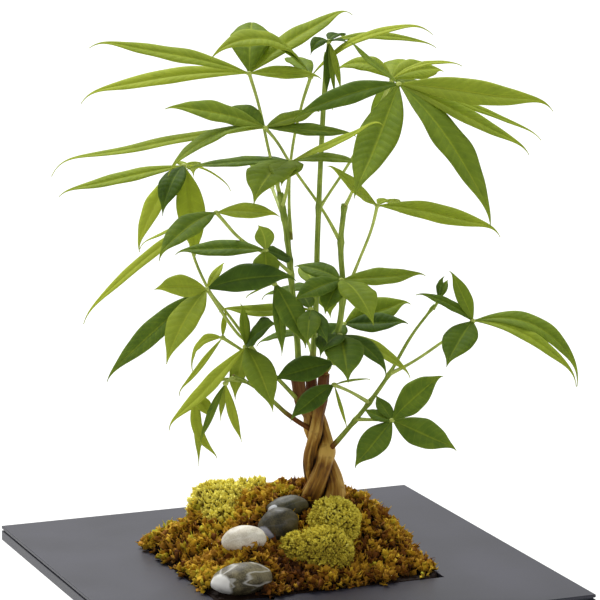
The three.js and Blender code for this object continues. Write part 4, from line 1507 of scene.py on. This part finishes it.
@dataclass
class MossBed:
    """The brown moss over the whole well, in mm in the rim's frame.

    Its skin starts a little above the rim along the well's edge, rises to a shoulder, low in
    front and higher behind, and carries low hills: (x, y, height, spread) in the plant's frame.
    No sprig grows in the bare spot at the front pebble's foot: (x, y, radius).
    """

    side: float = 133.6
    edge: float = 2.5
    floor: float = -11.5
    shoulder_front: float = 3
    shoulder_behind: float = 14
    shoulder_reach: float = 7
    front_at: float = -45
    behind_at: float = 10
    hills: tuple[tuple[float, ...], ...] = (
        (8, 22, 20, 30), (-42, 28, 6, 16), (-22, -38, 9, 15), (2, -14, 5, 16), (54, 14, 6, 18),
        (-17, -50, 6, 6),
    )
    bare: tuple[float, float, float] = (-37, -83, 9)
    cells: int = 130
    sunk: float = 2.6
    sprigs: int = 10500

    def height(self, x: float, y: float) -> float:
        """The moss's outside over a place in the rim's frame."""
        seen = TO_PLANT @ Vector((x, y, 0))
        to_edge = max(0.0, self.side / 2 - max(abs(x), abs(y)))
        hills = sum(height * math.exp(-((seen.x - at_x) ** 2 + (seen.y - at_y) ** 2)
                                      / (2 * spread**2))
                    for at_x, at_y, height, spread in self.hills)
        behind = eased(seen.y, self.front_at, self.behind_at)
        shoulder = self.shoulder_front + (self.shoulder_behind - self.shoulder_front) * behind
        rise = (1 - math.exp(-to_edge / self.shoulder_reach))
        return self.edge + (shoulder + hills) * rise * eased(self.from_corner(x, y), 0, 60)

    def lump(self, x: float, y: float) -> float:
        """How much the moss bunches up at a place, about -1 to 1, with gaps where it is low."""
        broad = noise.noise(Vector((x, y, 3)) / 8.5)
        return 1.1 * broad + 0.6 * noise.noise(Vector((x, y, 9)) / 3.8)

    def from_corner(self, x: float, y: float) -> float:
        """How far a place is from the well's left or right corner, where the moss stops short."""
        if x * y > 0:
            return self.side
        return self.side - abs(x) - abs(y)

    def build_mat(self) -> Object:
        """Models the lumpy mat under the sprigs, dark with painted shade, as a closed block."""
        mat = added(bpy.ops.mesh.primitive_grid_add, x_subdivisions=self.cells,
                    y_subdivisions=self.cells, size=self.side)
        for point in mat.data.vertices:
            x, y, _ = point.co
            top = max(0.2, self.height(x, y) - self.sunk + 3.2 * self.lump(x, y))
            near = eased(self.from_corner(x, y), 3, 10)
            point.co.z = -8 + (top + 8) * near
        with editing(mat, "EDGE"):
            bpy.ops.mesh.select_all(action="DESELECT")
            bpy.ops.mesh.select_non_manifold()
            bpy.ops.mesh.extrude_region_move(TRANSFORM_OT_translate={"value": (0, 0, 0)})
            bpy.ops.transform.resize(value=(0.97, 0.97, 0), center_override=(0, 0, self.floor))
            bpy.ops.mesh.edge_face_add()
            bpy.ops.mesh.select_all(action="SELECT")
            bpy.ops.mesh.normals_make_consistent(inside=False)
        return mat

    def open_to(self, seat: np.ndarray, normal: np.ndarray) -> bool:
        """Whether a sprig may grow at a seat, clear of gaps, stones, cushions and trunk."""
        point = TO_PLANT @ Vector(seat)
        if seat[2] < 0.3 or normal[2] < -0.2 or self.from_corner(seat[0], seat[1]) < 8:
            return False
        if self.lump(seat[0], seat[1]) + 0.5 * noise.noise(Vector(seat) / 1.7) < -0.3:
            return False
        if any(pebble.holds(point, pebble.clear) for pebble in PEBBLES):
            return False
        if (point.xy - Vector(self.bare[:2])).length < self.bare[2]:
            return False
        if any(lobe.holds(point, -1) for lobe in CUSHION_LEFT + CUSHION_FRONT):
            return False
        return (point.xy - Vector((20, 12))).length > 12.5

    def tone(self, seat: Vector) -> float:
        """How bright the moss is at a place: gold on its bunches, whose tops get painted light, and
        to the left, and dark in front with painted shade.
        """
        # Higher bunches get painted light on their tops, with a random tone over it.
        bunch_light_and_tone = 0.32 * self.lump(seat.x, seat.y) + noise.noise(seat / 14) * 0.45
        seen = TO_PLANT @ seat
        # front darkens the moss in front of the trunk with painted shade.
        front = eased(-seen.y, 15, 60) * math.exp(-((seen.x - 12) / 32) ** 2)
        sides = 0.16 * eased(-seen.x, 0, 60) + 0.1 * eased(seen.x, 40, 80)
        return 0.44 + bunch_light_and_tone + sides - 0.26 * front

    def build(self) -> None:
        """Models and dresses the mat and its sprigs, a quarter of the bed at a time."""
        skin = BROWN_MOSS.material()
        mat = self.build_mat()
        mark(mat, "tone", 0.2)
        # A low height gives the mat nearly the foot colour: painted shade between the sprigs.
        mark(mat, "height", 0.1)
        wear(mat, skin)
        rng = np.random.default_rng(5)
        seats, normals = seats_on(mat, self.sprigs * 2, rng)
        free = [i for i in range(len(seats)) if self.open_to(seats[i], normals[i])]
        seats, normals = seats[free[: self.sprigs]], normals[free[: self.sprigs]]
        growth = Growth(Sprig(5.4, 0.42, 2, 1.9), wild=0.85, lift=0.35, sizes=(0.45, 1.15))
        for name, right, back in (("front_left", False, False), ("front_right", True, False),
                                  ("rear_left", False, True), ("rear_right", True, True)):
            here = ((seats[:, 0] > 0) == right) & ((seats[:, 1] > 0) == back)
            piece = growth.scatter("moss_" + name, seats[here], normals[here], self.tone, rng)
            self.lay_on_rim(piece)
            wear(piece, skin)
            select_only(piece)
            bpy.ops.object.shade_smooth()
            settle(piece, "moss_bed_" + name, "moss_bed", Slot.BROWN_MOSS, RIM_PLACE)
        select_only(mat)
        bpy.ops.object.shade_smooth()
        settle(mat, "moss_bed_mat", "moss_bed", Slot.BROWN_MOSS, RIM_PLACE)

    def lay_on_rim(self, piece: Object) -> None:
        """Lifts what would sink into the rim onto its top."""
        inside = self.side / 2 - 0.5
        for point in piece.data.vertices:
            if max(abs(point.co.x), abs(point.co.y)) > inside:
                point.co.z = max(point.co.z, 0.3)


@dataclass
class MossCushion:
    """A pale moss cushion of a few lobes, covered with small sprigs."""

    name: str
    lobes: tuple[Lobe, ...]
    sprigs: int
    growth: Growth
    brightness: float
    lumps: float

    def build_core(self) -> Object:
        """Models the cushion's inside as one lumpy closed body."""
        core = joined([lobe.build(1.6) for lobe in self.lobes])
        apply_modifier(core, "REMESH", mode="VOXEL", voxel_size=0.9)
        for point in core.data.vertices:
            bump = noise.noise(point.co / 6.5) * self.lumps + noise.noise(point.co / 2.5) * 0.7
            point.co = point.co + point.normal * bump
        return core

    def open_to(self, point: Vector, bed: MossBed) -> bool:
        """Whether a sprig may grow at a place, above the bed and off stones and trunk."""
        seen = TO_PLANT.inverted() @ point
        if point.z < bed.height(seen.x, seen.y) - 3:
            return False
        if any(pebble.holds(point, 0.02) for pebble in PEBBLES):
            return False
        return (point.xy - Vector((20, 12))).length > 12

    def tone(self, seat: Vector) -> float:
        """How bright the cushion is at a place: brightest on top, with painted light from above."""
        high = max(lobe.at[2] + lobe.radii[2] for lobe in self.lobes)
        low = min(lobe.at[2] for lobe in self.lobes)
        top = (seat.z - low) / (high - low)
        # top lightens the cushion's upper part with painted light.
        return self.brightness + 0.3 * top + noise.noise(seat / 7) * 0.3

    def build(self, bed: MossBed, skin: bpy.types.Material) -> None:
        """Models and dresses the core and its sprigs.

        Args:
            bed: The moss bed that it sits in.
            skin: The moss's material.
        """
        core = self.build_core()
        rng = np.random.default_rng(len(self.name))
        seats, normals = seats_on(core, self.sprigs, rng)
        free = [i for i in range(len(seats)) if self.open_to(Vector(seats[i]), bed)]
        piece = self.growth.scatter(self.name, seats[free], normals[free], self.tone, rng)
        mark(core, "tone", self.brightness)
        # A low height gives the core nearly the foot colour: painted shade under the sprigs.
        mark(core, "height", 0.2)
        for part, ending in ((core, "_core"), (piece, "_sprigs")):
            wear(part, skin)
            select_only(part)
            bpy.ops.object.shade_smooth()
            settle(part, self.name + ending, self.name, Slot.PALE_MOSS, PLANT_PLACE)


class Dressing:
    """The moss bed and its two cushions."""

    def build(self) -> None:
        """Models and dresses all the moss."""
        bed = MossBed()
        bed.build()
        skin = PALE_MOSS.material()
        coarse = Growth(Sprig(), wild=0.5, lift=0.3, sizes=(0.5, 0.85))
        fine = Growth(Sprig(3.6, 0.5, 3, 0.9), wild=0.4, lift=0.1, sizes=(0.55, 0.95))
        MossCushion("moss_cushion_left", CUSHION_LEFT, 3000, coarse, 0.8, 4).build(bed, skin)
        MossCushion("moss_cushion_front", CUSHION_FRONT, 5200, fine, 0.36, 1.5).build(bed, skin)


# ---------------------------------------------------------------- floor, light and camera


@dataclass
class Studio:
    """A pale floor, soft light from above and behind, and the photograph's camera.

    Places are in metres in the row frame, angles in degrees.
    """

    eye: Place = (-0.6626, -1.6590, 0.5828)
    heading: float = -22
    pitch: float = 11.17
    lens: float = 195.06
    sensor: float = 36
    floor_side: float = 80
    sky: float = 0.6
    sun: float = 3.5
    sun_from: Place = (-0.2, 0.6, 0.8)
    sun_spread: float = 30

    def build(self) -> None:
        """Makes the camera, the floor and the lights."""
        self.place_camera()
        self.lay_floor()
        self.light()

    def place_camera(self) -> None:
        """The camera, level from side to side, at the photograph's viewing angle."""
        turn = (math.radians(90 - self.pitch), 0, math.radians(self.heading))
        camera = added(bpy.ops.object.camera_add, location=self.eye, rotation=turn)
        camera.data.lens = self.lens
        camera.data.sensor_width = self.sensor
        camera.data.clip_end = self.floor_side * 2
        bpy.context.scene.camera = camera

    def lay_floor(self) -> None:
        """The plain pale floor."""
        floor = added(bpy.ops.mesh.primitive_plane_add, size=self.floor_side)
        floor.name = "floor"
        wear(floor, Shader("pale_floor").finish(rgb(240, 240, 239), 0.9))

    def light(self) -> None:
        """A broad soft lamp from above and behind, and an even pale sky."""
        towards = Matrix.Rotation(PLANT_TURN, 3, "Z") @ Vector(self.sun_from)
        turn = (-towards).to_track_quat("-Z", "Y").to_euler()
        lamp = added(bpy.ops.object.light_add, type="SUN", rotation=turn)
        lamp.data.energy = self.sun
        lamp.data.angle = math.radians(self.sun_spread)
        world = bpy.data.worlds.new("soft_sky")
        world.use_nodes = True
        background = world.node_tree.nodes["Background"]
        background.inputs["Color"].default_value = (1, 1, 1, 1)
        background.inputs["Strength"].default_value = self.sky
        bpy.context.scene.world = world
        bpy.context.scene.view_settings.view_transform = "Standard"


def main() -> None:
    """Builds the scene in order and reports each piece."""
    logging.basicConfig(level=logging.INFO, format="%(name)s: %(message)s")
    Studio().build()
    pot = Pot()
    pot.dress(pot.build())
    Soil().dress()
    Trunk().build()
    Stems().build()
    Canopy().build()
    Pebbles().build()
    Dressing().build()


if __name__ == "__main__":
    main()
